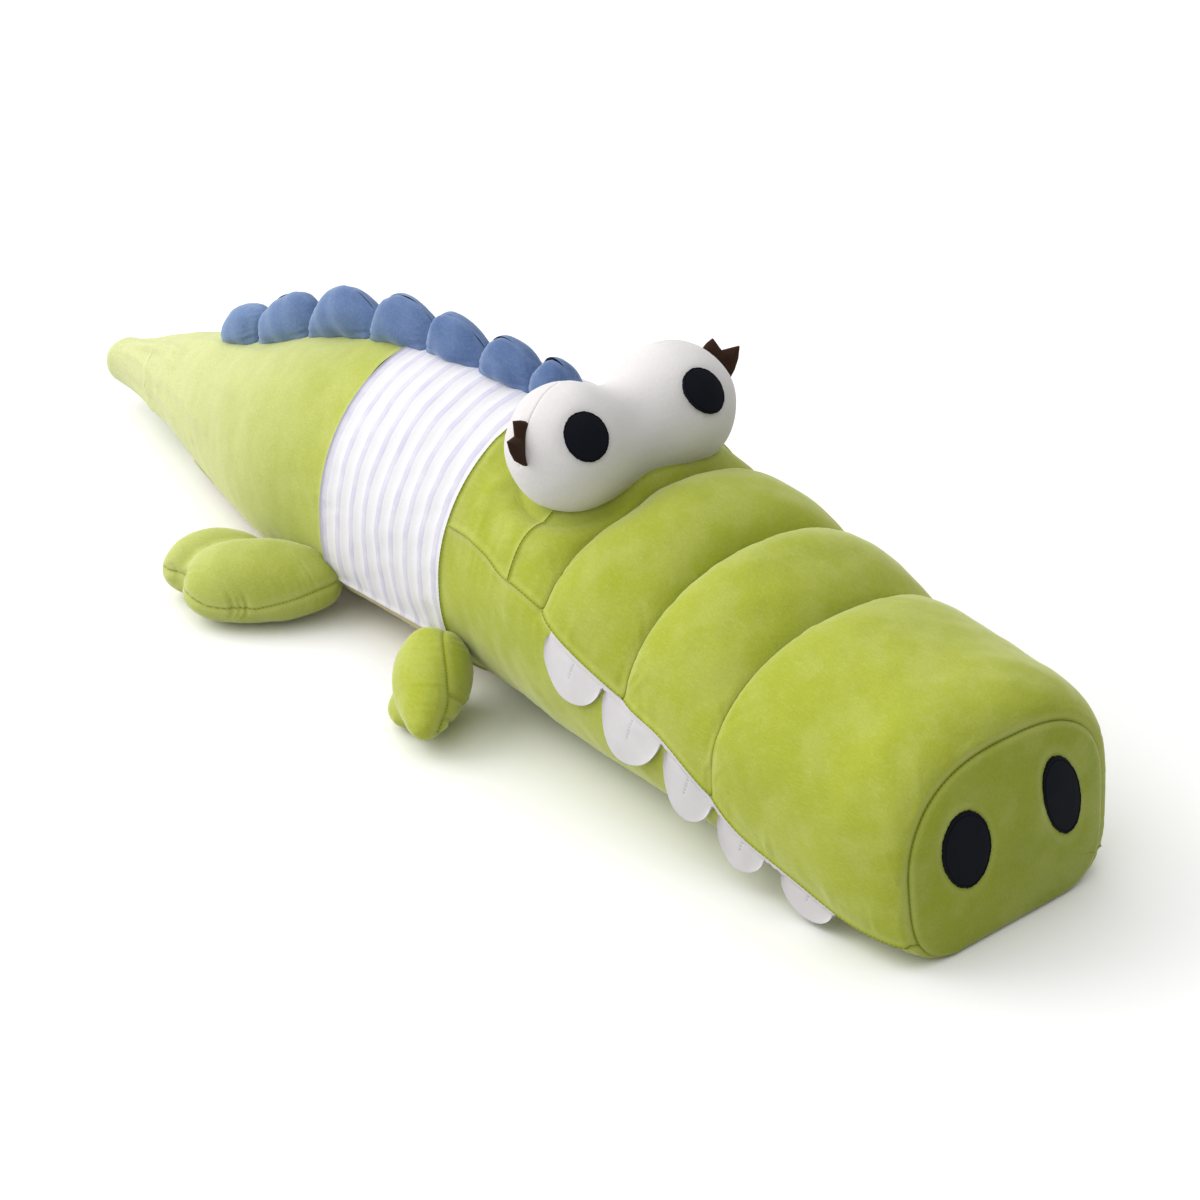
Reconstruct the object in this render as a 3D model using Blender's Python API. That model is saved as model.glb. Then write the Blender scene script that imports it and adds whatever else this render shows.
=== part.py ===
"""A stuffed plush crocodile: a velvet body with a striped shirt, a snout in three soft rolls, felt teeth,
a pod with two eyes, a row of back humps and four soft legs.

Metres, +Z up. The crocodile faces -Y and lies on Z = 0, and the origin is the middle of its footprint.
Places along the body are shares of LENGTH from the nose. Angles round it start at the side, at +X, and
rise over the back.
"""

from math import cos, pi, radians, sin

import bmesh
import bpy
import numpy as np

# Overall sizes
LENGTH = 1.10
BODY_WIDTH = 0.26
BACK_HEIGHT = 0.235

# Cloth, and the clear space between neighbouring pieces
VELVET = 0.002
FELT = 0.0016
GAP = 0.0004
WELD = 1e-6

# Divisions of a ring above and below the side seam
RING_UP, RING_LOW = 12, 8

# Along the body: share of the length, then half width as a share of half the body's width, top, bottom
# and widest level as shares of the back's height, and the squareness of the section above and below
BODY_SHARES = np.array([
    (0.000, 0.908, 0.778, -0.014, 0.27, 2.65, 3.80),
    (0.011, 0.908, 0.778, -0.014, 0.27, 2.65, 3.80),
    (0.100, 0.950, 0.785, -0.017, 0.35, 2.25, 2.80),
    (0.177, 0.973, 0.822, -0.017, 0.39, 2.15, 2.50),
    (0.264, 0.988, 0.911, -0.017, 0.43, 2.15, 2.40),
    (0.354, 0.988, 0.992, -0.017, 0.46, 2.20, 2.30),
    (0.410, 0.940, 1.000, -0.017, 0.47, 2.15, 2.25),
    (0.469, 0.898, 0.970, -0.017, 0.47, 2.00, 2.30),
    (0.550, 0.850, 0.951, -0.017, 0.44, 2.00, 2.55),
    (0.620, 0.800, 0.903, -0.017, 0.40, 2.00, 2.80),
    (0.712, 0.772, 0.776, -0.017, 0.32, 2.10, 2.70),
    (0.802, 0.563, 0.587, 0.001, 0.26, 2.20, 2.50),
    (0.897, 0.323, 0.431, 0.062, 0.22, 2.20, 2.40),
    (0.985, 0.144, 0.264, 0.090, 0.18, 2.10, 2.20),
    (1.000, 0.148, 0.248, 0.095, 0.18, 2.10, 2.20),
])

# Where the seams run round the body, as shares of the length
NOSE_DOME = 0.012
NOSE_SHARE = (NOSE_DOME + FELT) / LENGTH
ROLL_SHARES = (0.177, 0.264, 0.354)
FACE_SHARE = 0.391
SHIRT_SHARES = (0.469, 0.620)
TAIL_SHARE = 0.847

# How the seams of the rolls pull the cloth: place, pull down as a share of the back's height, pull in as
# a share of half the body's width, and reach towards the nose and the tail as shares of the length
PULL_SHARES = (
    (NOSE_SHARE, 0.115, 0.150, 0.010, 0.050),
    (ROLL_SHARES[0], 0.085, 0.030, 0.045, 0.0435),
    (ROLL_SHARES[1], 0.125, 0.035, 0.0435, 0.045),
    (ROLL_SHARES[2], 0.155, 0.030, 0.045, 0.045),
)
ARCH_STEP_SHARES = (0.12, 0.5, 1.0)

# Height of the side seam as shares of the back's height: the mouth and cheek, then the belly's edge
MOUTH_SHARES = np.array([
    (0.000, 0.085), (0.036, 0.092), (0.070, 0.108), (0.112, 0.160), (0.156, 0.226), (0.181, 0.307),
    (0.200, 0.362), (0.222, 0.417), (0.255, 0.453), (0.284, 0.495), (0.312, 0.530), (0.342, 0.572),
    (0.362, 0.608), (0.382, 0.625), (0.400, 0.628), (0.420, 0.652), (0.440, 0.664), (0.469, 0.660),
])
BELLY_SHARES = np.array([(0.469, 0.084), (0.712, 0.078), (0.802, 0.085), (0.897, 0.12), (1.0, 0.15)])

# Nostrils
NOSTRIL_X, NOSTRIL_Z = 0.0480, 0.090
NOSTRIL_WIDE, NOSTRIL_HIGH = 0.046, 0.068

# Tail end, and the turning place of the tail
TIP_ROUND = 0.014
TAIL_LIP = 0.009
TAIL_RECESS = 0.012
TAIL_CLEAR = 0.0017

# Eye pod: two lobes joined at a waist, seated on the head
POD_HALF = 0.106
POD_LOBE_X = 0.053
POD_Y, POD_Z = -0.1018 * LENGTH, 1.0043 * BACK_HEIGHT
POD_ROUND, POD_WAIST = 0.053, 0.044
PUPIL_X, PUPIL_WIDE, PUPIL_HIGH, PUPIL_TURN = (0.049, -0.067), 0.035, 0.041, 36.5

# Lashes, caught in the pod's side seam: outline from the bottom up as shares of the height and reach
LASH_Z, LASH_HIGH, LASH_OUT = POD_Z + 0.020, 0.038, 0.016
LASH_SHARES = ((0.0, 0.08), (0.30, 0.62), (0.62, 1.0), (0.66, 0.42), (0.97, 0.90), (1.0, 0.88))

# Teeth: five scallops of felt on each side, hung from the mouth seam. Each has its first and last share
# and its drop, and leans towards the tail, square to the rising mouth
TEETH = ((0.0665, 0.1125, 0.0200), (0.1275, 0.1675, 0.0250), (0.1735, 0.2150, 0.0335),
         (0.2210, 0.2775, 0.0405), (0.2810, 0.3380, 0.0340))
TOOTH_LEAN = 0.28
GUM_HIGH = 0.004

# Back humps, from the tail to the head
HUMP_END_SHARES = (0.858, 0.800, 0.744, 0.679, 0.612, 0.553, 0.495, 0.443)
HUMP_RISE_SHARES = (0.80, 0.98, 1.0, 0.94, 0.86, 0.80, 0.76)
HUMP_RISE, HUMP_VALLEY, HUMP_HALF = 0.044, 0.021, 0.019

# Legs: a round root on the pivot, a main lobe and a small toe
ROOT_ROUND, ROOT_HIGH = 0.031, 0.062
ROOT_NEAR_FRONT, ROOT_NEAR_HIND = 0.0014, 0.0010
LEGS = {
    "front": dict(y=-0.030, turn=-52.0, reach=0.036, long=0.053, wide=0.038, high=0.072,
                  toe_reach=0.042, toe_aside=0.015, toe_long=0.031, toe_wide=0.024, toe_high=0.038),
    "hind": dict(y=0.160, turn=20.0, reach=0.030, long=0.056, wide=0.036, high=0.066,
                 toe_reach=0.048, toe_aside=0.030, toe_long=0.040, toe_wide=0.027, toe_high=0.056),
}

COLOURS = {
    "green": (0.46, 0.60, 0.08), "white": (0.86, 0.86, 0.90), "cream": (0.68, 0.62, 0.36),
    "blue": (0.12, 0.24, 0.48), "eye_white": (0.84, 0.82, 0.80), "black": (0.01, 0.012, 0.02),
    "brown": (0.06, 0.025, 0.012), "tooth": (0.80, 0.78, 0.82), "filling": (0.90, 0.90, 0.88),
}


def cleared():
    """An empty file with one collection for the crocodile and one for the cutters."""
    for thing in list(bpy.data.objects):
        bpy.data.objects.remove(thing, do_unlink=True)
    made = []
    for name in ("plush_crocodile", "cutters"):
        group = bpy.data.collections.new(name)
        bpy.context.scene.collection.children.link(group)
        made.append(group)
    return made


def material(name):
    found = bpy.data.materials.get(name)
    if found is None:
        found = bpy.data.materials.new(name)
        found.use_nodes = True
        shader = found.node_tree.nodes["Principled BSDF"]
        shader.inputs["Base Color"].default_value = (*COLOURS[name], 1.0)
        shader.inputs["Roughness"].default_value = 0.9
        shader.inputs["Metallic"].default_value = 0.0
    return found


def solid(name, grids, colour, group, pivot=(0.0, 0.0, 0.0)):
    """One closed mesh from grids of points that share their edges, with its origin on the pivot."""
    shift = np.array(pivot, float)
    shell = bmesh.new()
    for grid in grids:
        dots = [[shell.verts.new(tuple(p - shift)) for p in row] for row in grid]
        for near, far in zip(dots, dots[1:]):
            for a, b, c, d in zip(near, near[1:], far[1:], far):
                shell.faces.new((a, b, c))
                shell.faces.new((a, c, d))
    bmesh.ops.remove_doubles(shell, verts=shell.verts, dist=WELD)
    bmesh.ops.dissolve_degenerate(shell, edges=shell.edges, dist=WELD)
    bmesh.ops.recalc_face_normals(shell, faces=shell.faces)
    mesh = bpy.data.meshes.new(name)
    shell.to_mesh(mesh)
    shell.free()
    mesh.materials.append(material(colour))
    mesh.shade_smooth()
    mesh.set_sharp_from_angle(angle=radians(50))
    thing = bpy.data.objects.new(name, mesh)
    thing.location = shift
    group.objects.link(thing)
    if group is cutters:
        thing.hide_render = True
        thing.display_type = "WIRE"
    return thing


def cut(thing, tools, operation="DIFFERENCE"):
    for tool in tools:
        step = thing.modifiers.new(tool.name, "BOOLEAN")
        step.operation = operation
        step.solver = "EXACT"
        step.object = tool


def rims(outer, inner, round_it=False):
    """The narrow edges that join two grids into one thick sheet."""
    edges = [(outer[0], inner[0]), (outer[-1], inner[-1])]
    if not round_it:
        edges += [(outer[:, 0], inner[:, 0]), (outer[:, -1], inner[:, -1])]
    return [np.stack(edge) for edge in edges]


def capped(ring):
    """A flat end: the ring drawn together to its middle."""
    return np.stack([ring, np.broadcast_to(ring[:-1].mean(axis=0), ring.shape)])


def mirrored(grid):
    return grid * np.array([-1.0, 1.0, 1.0])


# The body's surface

def smooth(at, table, column=1):
    """A table's column at the shares: a cubic through its rows, with central differences for slopes."""
    x, y = table[:, 0], table[:, column]
    slope = np.gradient(y, x)
    at = np.clip(at, x[0], x[-1])
    i = np.clip(np.searchsorted(x, at, side="right") - 1, 0, len(x) - 2)
    step = x[i + 1] - x[i]
    t = (at - x[i]) / step
    ends = (1 + 2 * t) * (1 - t) ** 2 * y[i] + t * t * (3 - 2 * t) * y[i + 1]
    return ends + step * (t * (1 - t) ** 2 * slope[i] + t * t * (t - 1) * slope[i + 1])


def body_form(share):
    """Half width, top, bottom and widest level in metres, and squareness above and below."""
    half, top, base, level, up, low = (smooth(share, BODY_SHARES, k) for k in range(1, 7))
    for place, down, aside, ahead, behind in PULL_SHARES:
        away = np.where(share < place, (place - share) / ahead, (share - place) / behind)
        pull = 1 - np.sqrt(1 - (1 - np.clip(away, 0, 1)) ** 2)
        top = top - down * pull
        half = half - aside * pull
    start = 1 - TIP_ROUND / LENGTH
    fade = np.sqrt(1 - np.clip((share - start) / (1 - start), 0, 1) ** 2)
    half, top, base = half * fade, level + (top - level) * fade, level + (base - level) * fade
    return half * BODY_WIDTH / 2, top * BACK_HEIGHT, base * BACK_HEIGHT, level * BACK_HEIGHT, up, low


def body(share, angle, inset=0.0):
    """Points of the body at shares (a column) and angles: a superellipse whose widest line lies at its
    own level, flat where it rests on the ground, and drawn in by the inset."""
    half, top, base, level, up, low = body_form(share)
    over = np.sin(angle) > 0
    power = 2 / np.where(over, up, low)
    rise = np.maximum(np.where(over, top - level, level - base) - inset, 0)
    x = np.maximum(half - inset, 0) * np.sign(np.cos(angle)) * np.abs(np.cos(angle)) ** power
    z = level + rise * np.sign(np.sin(angle)) * np.abs(np.sin(angle)) ** power
    tip = np.clip((share - 1) * LENGTH / TIP_ROUND + 1, 0, 1)
    y = (share - 0.5) * LENGTH - inset * tip + 0 * angle
    return np.stack([x, y, np.maximum(z, inset)], axis=-1)


def angle_at(share, height):
    """The angle at which the +X side of the body stands at a height."""
    _, top, base, level, up, low = body_form(share)
    above = np.clip((height - level) / np.maximum(top - level, WELD), 0, 1) ** (up / 2)
    below = np.clip((level - height) / np.maximum(level - base, WELD), 0, 1) ** (low / 2)
    return np.where(height > level, np.arcsin(above), -np.arcsin(below))


def knots():
    """Shares of the rings: both edges of each seam, steps up each arch, and steps along the plain parts."""
    seam = GAP / 2 / LENGTH
    places = [NOSE_SHARE + seam, 1.0, TAIL_SHARE, TAIL_SHARE - TAIL_LIP / LENGTH,
              TAIL_SHARE - TAIL_RECESS / LENGTH]
    for place in (*ROLL_SHARES, FACE_SHARE, *SHIRT_SHARES):
        places += [place - seam, place + seam]
    for place, _, _, ahead, behind in PULL_SHARES:
        for step in ARCH_STEP_SHARES:
            places += [place - ahead * step, place + behind * step]
    for first, last, count in ((*SHIRT_SHARES, 3), (SHIRT_SHARES[1], TAIL_SHARE, 4), (TAIL_SHARE, 0.985, 3)):
        places += list(np.linspace(first, last, count + 1)[1:-1])
    start = 1 - TIP_ROUND / LENGTH
    places += [start + (1 - start) * sin(radians(turn)) for turn in (0, 35, 65)]
    kept = []
    for place in sorted(p for p in places if p >= NOSE_SHARE + seam):
        if not kept or place - kept[-1] > seam:
            kept.append(place)
    return np.array(kept)


def stations(first, last):
    slack = GAP / 4 / LENGTH
    return KNOTS[(KNOTS > first - slack) & (KNOTS < last + slack)]


def seam_height(share):
    mouth = smooth(share, MOUTH_SHARES) * BACK_HEIGHT
    belly = smooth(share, BELLY_SHARES) * BACK_HEIGHT
    return np.where(share < SHIRT_SHARES[0], mouth, belly)


def skin(shares, part, inset=0.0):
    """The body's grid above the side seam, below it, or all round."""
    share = np.asarray(shares, float)[:, None]
    height = seam_height(share)
    side = GAP / 2 if part != "round" else 0.0
    up = angle_at(share, height + side)
    low = angle_at(share, height - side)
    over = up + (pi - 2 * up) * np.linspace(0, 1, RING_UP + 1)
    under = pi - low + (pi + 2 * low) * np.linspace(0, 1, RING_LOW + 1)
    angle = {"upper": over, "lower": under, "round": np.hstack([over, under[:, 1:]])}[part]
    return body(share, angle, inset)


def cloth(name, first, last, part, colour):
    """A panel of the body's cover between two shares."""
    shares = stations(first, last)
    outer, inner = skin(shares, part), skin(shares, part, VELVET)
    return solid(name, [outer, inner, *rims(outer, inner, part == "round")], colour, toy)


def between(share, value):
    """A value of the ring, taken on the flat facets between two knots."""
    i = np.clip(np.searchsorted(KNOTS, share, side="right") - 1, 0, len(KNOTS) - 2)
    t = (share - KNOTS[i]) / (KNOTS[i + 1] - KNOTS[i])
    return value(KNOTS[i]) * (1 - t) + value(KNOTS[i + 1]) * t


def back_height(share, x):
    """Top of the body at a distance from the middle."""
    def ring(at):
        half, top, _, level, up, _ = body_form(at)
        return level + (top - level) * (1 - np.clip(np.abs(x) / half, 0, 1) ** up) ** (1 / up)
    return between(share, ring)


def side_width(share, height):
    """Half width of the body at a height."""
    def ring(at):
        half, top, base, level, up, low = body_form(at)
        above = (1 - np.clip((height - level) / (top - level), 0, 1) ** up) ** (1 / up)
        below = (1 - np.clip((level - height) / (level - base), 0, 1) ** low) ** (1 / low)
        return half * np.where(height > level, above, below)
    return between(share, ring)


# Body covers and filling

def nose_dome(share, inset):
    """The front face: the ring drawn in to its middle, each step standing further forward."""
    reach = np.array([1.0, 0.94, 0.80, 0.50, 0.0])[:, None, None]
    ring = skin([share], "round", inset)
    middle = np.array([0.0, 0.0, 1.0]) * body_form(np.array(share))[3]
    grid = middle + (ring - middle) * reach
    grid[..., 1] = ring[..., 1] - (NOSE_DOME - inset) * (1 - reach[..., 0] ** 2) ** 0.75
    return grid


def nose_front(x, z):
    """How far forward the nose stands at a place on its face."""
    half, top, base, level, up, low = (float(v) for v in body_form(np.array(NOSE_SHARE)))
    over = z > level
    power = np.where(over, up, low)
    rise = np.where(over, top - level, level - base)
    reach = ((np.abs(x) / half) ** power + (np.abs(z - level) / rise) ** power) ** (1 / power)
    return NOSE_DOME * (1 - np.clip(reach, 0, 1) ** 2) ** 0.75


def body_covers():
    seam = GAP / 2 / LENGTH
    marks = [NOSE_SHARE, *ROLL_SHARES, FACE_SHARE, *SHIRT_SHARES]
    names = ["snout_roll_front", "snout_roll_middle", "snout_roll_rear", "face_cover", "crown_cover"]
    for name, first, last in zip(names, marks, marks[1:]):
        cloth(name, first + seam, last - seam, "upper", "green")
    cloth("shirt", SHIRT_SHARES[0] + seam, SHIRT_SHARES[1] - seam, "upper", "white")
    end = TAIL_SHARE - TAIL_LIP / LENGTH
    cloth("rump_cover", SHIRT_SHARES[1] + seam, end, "upper", "green")
    cloth("jaw_cover", NOSE_SHARE + seam, SHIRT_SHARES[0] - seam, "lower", "green")
    cloth("belly_cover", SHIRT_SHARES[0] + seam, end, "lower", "cream")
    outer, inner = nose_dome(NOSE_SHARE - seam, 0.0), nose_dome(NOSE_SHARE - seam, VELVET)
    solid("nose_cover", [outer, inner, np.stack([outer[0], inner[0]])], "green", toy)


def tail_turn(inset, whole):
    """The round end that the tail turns on: its half section swept about the upright axis."""
    ring = skin([TAIL_SHARE], "round", inset)[0]
    top = int(np.argmax(ring[:, 2]))
    low = RING_UP + RING_LOW // 2
    side = np.vstack([ring[top::-1], ring[-2:low - 1:-1]])
    steps = np.linspace(-pi, pi, 17) if whole else np.linspace(-pi / 2, pi / 2, 9)
    sweep = np.stack([np.sin(steps), -np.cos(steps)], axis=-1)
    grid = np.empty((len(side), len(steps), 3))
    grid[..., :2] = np.abs(side[:, None, :1]) * sweep
    grid[..., 1] += side[:, None, 1]
    grid[..., 2] = side[:, None, 2]
    return grid


def fillings():
    inside = VELVET + GAP
    shares = stations(NOSE_SHARE, TAIL_SHARE - TAIL_RECESS / LENGTH)
    dome, tube = nose_dome(NOSE_SHARE, inside), skin(shares, "round", inside)
    filling = solid("body_filling", [dome, np.stack([dome[0], tube[0]]), tube, capped(tube[-1])],
                    "filling", toy)
    socket = solid("tail_socket", [tail_turn(-TAIL_CLEAR, True)], "filling", cutters)
    for thing in (filling, bpy.data.objects["rump_cover"], bpy.data.objects["belly_cover"]):
        cut(thing, [socket])

    hinge = (0.0, (TAIL_SHARE - 0.5) * LENGTH, 0.0)
    shares = stations(TAIL_SHARE, 1.0)
    outer, inner = skin(shares, "round"), skin(shares, "round", VELVET)
    solid("tail_cover", [outer, inner, np.stack([outer[0], inner[0]])], "green", toy, hinge)
    solid("tail_filling", [tail_turn(inside, False), skin(shares, "round", inside)], "filling", toy, hinge)


def nostrils():
    """Two felt ovals on the nose's front."""
    reach, turn = np.linspace(0, 1, 4)[:, None], np.linspace(0, 2 * pi, 17)
    for side, name in ((1, "left"), (-1, "right")):
        x = side * NOSTRIL_X + reach * np.cos(turn) * NOSTRIL_WIDE / 2
        z = NOSTRIL_Z + reach * np.sin(turn) * NOSTRIL_HIGH / 2
        y = (NOSE_SHARE - 0.5) * LENGTH - nose_front(x, z)
        inner, outer = (np.stack([x, y - out, z], axis=-1) for out in (2 * GAP, 2 * GAP + FELT))
        solid(f"nostril_{name}", [outer, inner, np.stack([outer[-1], inner[-1]])], "black", toy)


# Teeth

def felt_on_side(shares, tops, bottoms, rows):
    """A sheet of felt that lies on the jaw's widest line above it, as one grid for each of its faces."""
    down = np.linspace(0, 1, rows + 1)[:, None]
    height = tops * (1 - down) + bottoms * down
    leaning = shares + TOOTH_LEAN * (seam_height(shares) - height) / LENGTH
    width = side_width(leaning, height)
    start = side_width(shares, seam_height(shares))
    width = np.maximum.accumulate(np.maximum(width, start), axis=0) + 2 * GAP
    y = (leaning - 0.5) * LENGTH
    return [np.stack([width + out, y, height], axis=-1) for out in (FELT, 0.0)]


def hinge_line(edge):
    """A point and a direction above and outside an edge, so that the felt swings clear."""
    along = (edge[-1] - edge[0]) / np.linalg.norm(edge[-1] - edge[0])
    point = edge.mean(axis=0)
    away = edge - point - ((edge - point) @ along)[:, None] * along
    return point + np.array([away[:, 0].max(), 0.0, away[:, 2].max()]), along


def teeth():
    t = np.linspace(0, 1, 9)
    along = [start + (end - start) * t for start, end, _ in TEETH]
    shares = np.concatenate(along)
    tops = seam_height(shares) - 2 * GAP
    gum = felt_on_side(shares, tops, tops - GUM_HIGH, 1)
    flaps = []
    for shares, (_, _, drop) in zip(along, TEETH):
        tops = seam_height(shares) - GUM_HIGH - 3 * GAP
        curve = 0.03 + 0.97 * np.sqrt(1 - (2 * t - 1) ** 2)
        flaps.append(felt_on_side(shares, tops, np.maximum(tops - drop * curve, 4 * GAP), 3))
    for name, flip in (("left", np.array), ("right", mirrored)):
        outer, inner = (flip(grid) for grid in gum)
        solid(f"gum_strip_{name}", [outer, inner, *rims(outer, inner)], "tooth", toy)
        for number, faces in enumerate(flaps, 1):
            outer, inner = (flip(grid) for grid in faces)
            pivot, _ = hinge_line(faces[0][0])
            solid(f"tooth_{name}_{number}", [outer, inner, *rims(outer, inner)], "tooth", toy, flip(pivot))


# Eyes

def pod(x, angle, inset=0.0):
    """The pod at a place across the head: round sections that swell at each lobe and close at the ends."""
    out = np.clip((np.abs(x) - POD_LOBE_X) / (POD_HALF - POD_LOBE_X), 0, 1)
    inner = np.clip(np.abs(x) / POD_LOBE_X, 0, 1)
    size = np.where(np.abs(x) > POD_LOBE_X, POD_ROUND * np.sqrt(1 - out ** 2),
                    POD_ROUND - (POD_ROUND - POD_WAIST) * np.cos(pi * inner / 2) ** 2)
    size = np.maximum(size - inset, 0)
    place = x - inset * np.sign(x) * out
    return np.stack([place + 0 * angle, POD_Y - size * np.cos(angle), POD_Z + size * np.sin(angle)], axis=-1)


def pod_ends():
    """Places across the pod, closer together where its ends close."""
    outside = POD_LOBE_X + (POD_HALF - POD_LOBE_X) * np.sin(np.radians([0, 30, 55, 75, 90]))
    inside = np.linspace(0, POD_LOBE_X, 5)[:-1]
    half = np.concatenate([inside, outside])
    return np.concatenate([-half[:0:-1], half])[:, None]


def eyes():
    head = stations(ROLL_SHARES[1], SHIRT_SHARES[0])
    tube = skin(head, "round", -GAP)
    seat = solid("pod_seat", [capped(tube[0]), tube, capped(tube[-1])], "filling", cutters)
    x = pod_ends()
    seam = GAP / 2 / POD_ROUND
    for name, first in (("eye_cover_front", -pi / 2), ("eye_cover_rear", pi / 2)):
        angle = np.linspace(first + seam, first + pi - seam, 8)
        outer, inner = pod(x, angle), pod(x, angle, VELVET)
        cut(solid(name, [outer, inner, *rims(outer, inner)], "eye_white", toy), [seat])
    angle = np.linspace(-pi / 2, 3 * pi / 2, 15)
    filling = solid("eye_filling", [pod(x, angle, VELVET + GAP)], "filling", toy)
    cut(filling, [seat])
    reach, turn = np.linspace(0, 1, 4)[:, None], np.linspace(0, 2 * pi, 17)
    for side, name in ((1, "left"), (-1, "right")):
        across = PUPIL_X[side < 0] + reach * np.cos(turn) * PUPIL_WIDE / 2
        angle = radians(PUPIL_TURN) + reach * np.sin(turn) * PUPIL_HIGH / 2 / POD_ROUND
        inner, outer = pod(across, angle, -2 * GAP), pod(across, angle, -2 * GAP - FELT)
        solid(f"pupil_{name}", [outer, inner, np.stack([outer[-1], inner[-1]])], "black", toy)
        lash(side, name)


def lash_edge():
    """The sewn edge of a lash in the pod's seam plane, and the straight line it bends on."""
    up = np.array(LASH_SHARES)[:, 0]
    height = LASH_Z + (up - 0.5) * LASH_HIGH
    round_it = np.sqrt(np.clip(1 - ((height - POD_Z) / POD_ROUND) ** 2, 0, 1))
    root = POD_LOBE_X + (POD_HALF - POD_LOBE_X) * round_it + 3 * GAP
    edge = np.stack([root, POD_Y + 0 * root, height], axis=-1)
    along = (edge[-1] - edge[0]) / np.linalg.norm(edge[-1] - edge[0])
    out = np.array([along[2], 0.0, -along[0]])
    middle = edge.mean(axis=0)
    return edge, middle + out * ((edge - middle) @ out).max(), along


def lash(side, name):
    """A zigzag of felt that stands out of the pod's side seam, turning on its sewn edge."""
    edge, pivot, _ = lash_edge()
    out = np.array([[0.0], [1.0]]) * np.array(LASH_SHARES)[:, 1] * LASH_OUT
    hand = np.array([side, 1.0, 1.0])
    sheet = edge + out[..., None] * np.array([1.0, 0.0, 0.0])
    faces = [(sheet + np.array([0.0, step, 0.0])) * hand for step in (-FELT / 2, FELT / 2)]
    solid(f"lash_{name}", [*faces, *rims(*faces)], "brown", toy, pivot * hand)


# Back humps

def humps(angle, inset):
    """The row of humps: an arch over the back's middle line, swelling and rising at each hump."""
    ends = np.array(HUMP_END_SHARES)
    place = np.linspace(0, len(ends) - 1, 4 * (len(ends) - 1) + 1)[:, None]
    share = np.interp(place, np.arange(len(ends)), ends)
    number = np.clip(place.astype(int), 0, len(ends) - 2)
    share = share + inset / LENGTH * ((place == place[-1]) * 1.0 - (place == 0))
    swell = np.abs(np.sin(pi * (place - number)))
    rise = HUMP_RISE * np.array(HUMP_RISE_SHARES)[number]
    foot = np.where((place == 0) | (place == place[-1]), HUMP_VALLEY / 4, HUMP_VALLEY)
    high = foot + (rise - foot) * swell ** 1.1 - inset
    half = HUMP_HALF * (0.62 + 0.38 * swell) - inset
    x = half * np.cos(angle)
    z = back_height(share, x) + 2 * GAP + high * np.abs(np.sin(angle)) ** 0.85
    return np.stack([x, (share - 0.5) * LENGTH + 0 * x, z], axis=-1)


def back_row():
    seam = GAP / 2 / HUMP_VALLEY
    for name, first, last in (("left", 0.0, pi / 2 - seam), ("right", pi / 2 + seam, pi)):
        angle = np.linspace(first, last, 5)
        outer, inner = humps(angle, 0.0), humps(angle, VELVET)
        solid(f"hump_cover_{name}", [outer, inner, *rims(outer, inner)], "blue", toy)
    over = humps(np.linspace(0, pi, 9), VELVET + GAP)
    x = over[:, :1, 0] * np.linspace(1, -1, 5)
    share = over[:, :1, 1] / LENGTH + 0.5
    under = np.stack([x, over[:, :1, 1] + 0 * x, back_height(share, x) + 2 * GAP], axis=-1)
    ends = [capped(np.vstack([over[k], under[k][-2::-1]])) for k in (0, -1)]
    solid("hump_filling", [over, under, *ends], "filling", toy)


# Legs

def lobe(name, place, sizes, turn, colour, group, origin, segments):
    """An egg-shaped lobe, resting on the ground, with its object's origin on the leg's pivot."""
    ball = bmesh.new()
    bmesh.ops.create_uvsphere(ball, u_segments=segments, v_segments=6, radius=1.0)
    for dot in ball.verts:
        x, y, z = (c * size for c, size in zip(dot.co, sizes))
        dot.co = (place[0] - origin[0] + x * cos(turn) - y * sin(turn),
                  place[1] - origin[1] + x * sin(turn) + y * cos(turn), place[2] + z)
    mesh = bpy.data.meshes.new(name)
    ball.to_mesh(mesh)
    ball.free()
    mesh.materials.append(material(colour))
    mesh.shade_smooth()
    thing = bpy.data.objects.new(name, mesh)
    thing.location = origin
    group.objects.link(thing)
    if group is cutters:
        thing.hide_render = True
        thing.display_type = "WIRE"
    return thing


def seat_x(y):
    """How far out a leg's pivot stands, so that the facets of its round root just clear the body."""
    height = np.linspace(0.0, ROOT_HIGH, 15)[:, None]
    share = np.linspace(y - ROOT_ROUND, y + ROOT_ROUND, 9) / LENGTH + 0.5
    ball = np.sqrt(np.clip(1 - (2 * height / ROOT_HIGH - 1) ** 2, 0, 1))
    aside = (share - 0.5) * LENGTH - y
    ball = ROOT_ROUND * np.sqrt(np.clip(ball ** 2 - (aside / ROOT_ROUND) ** 2, 0, 1))
    near = ROOT_NEAR_FRONT if y < 0 else ROOT_NEAR_HIND
    return float((side_width(share, height) + ball).max()) + 2 * GAP - near


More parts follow.
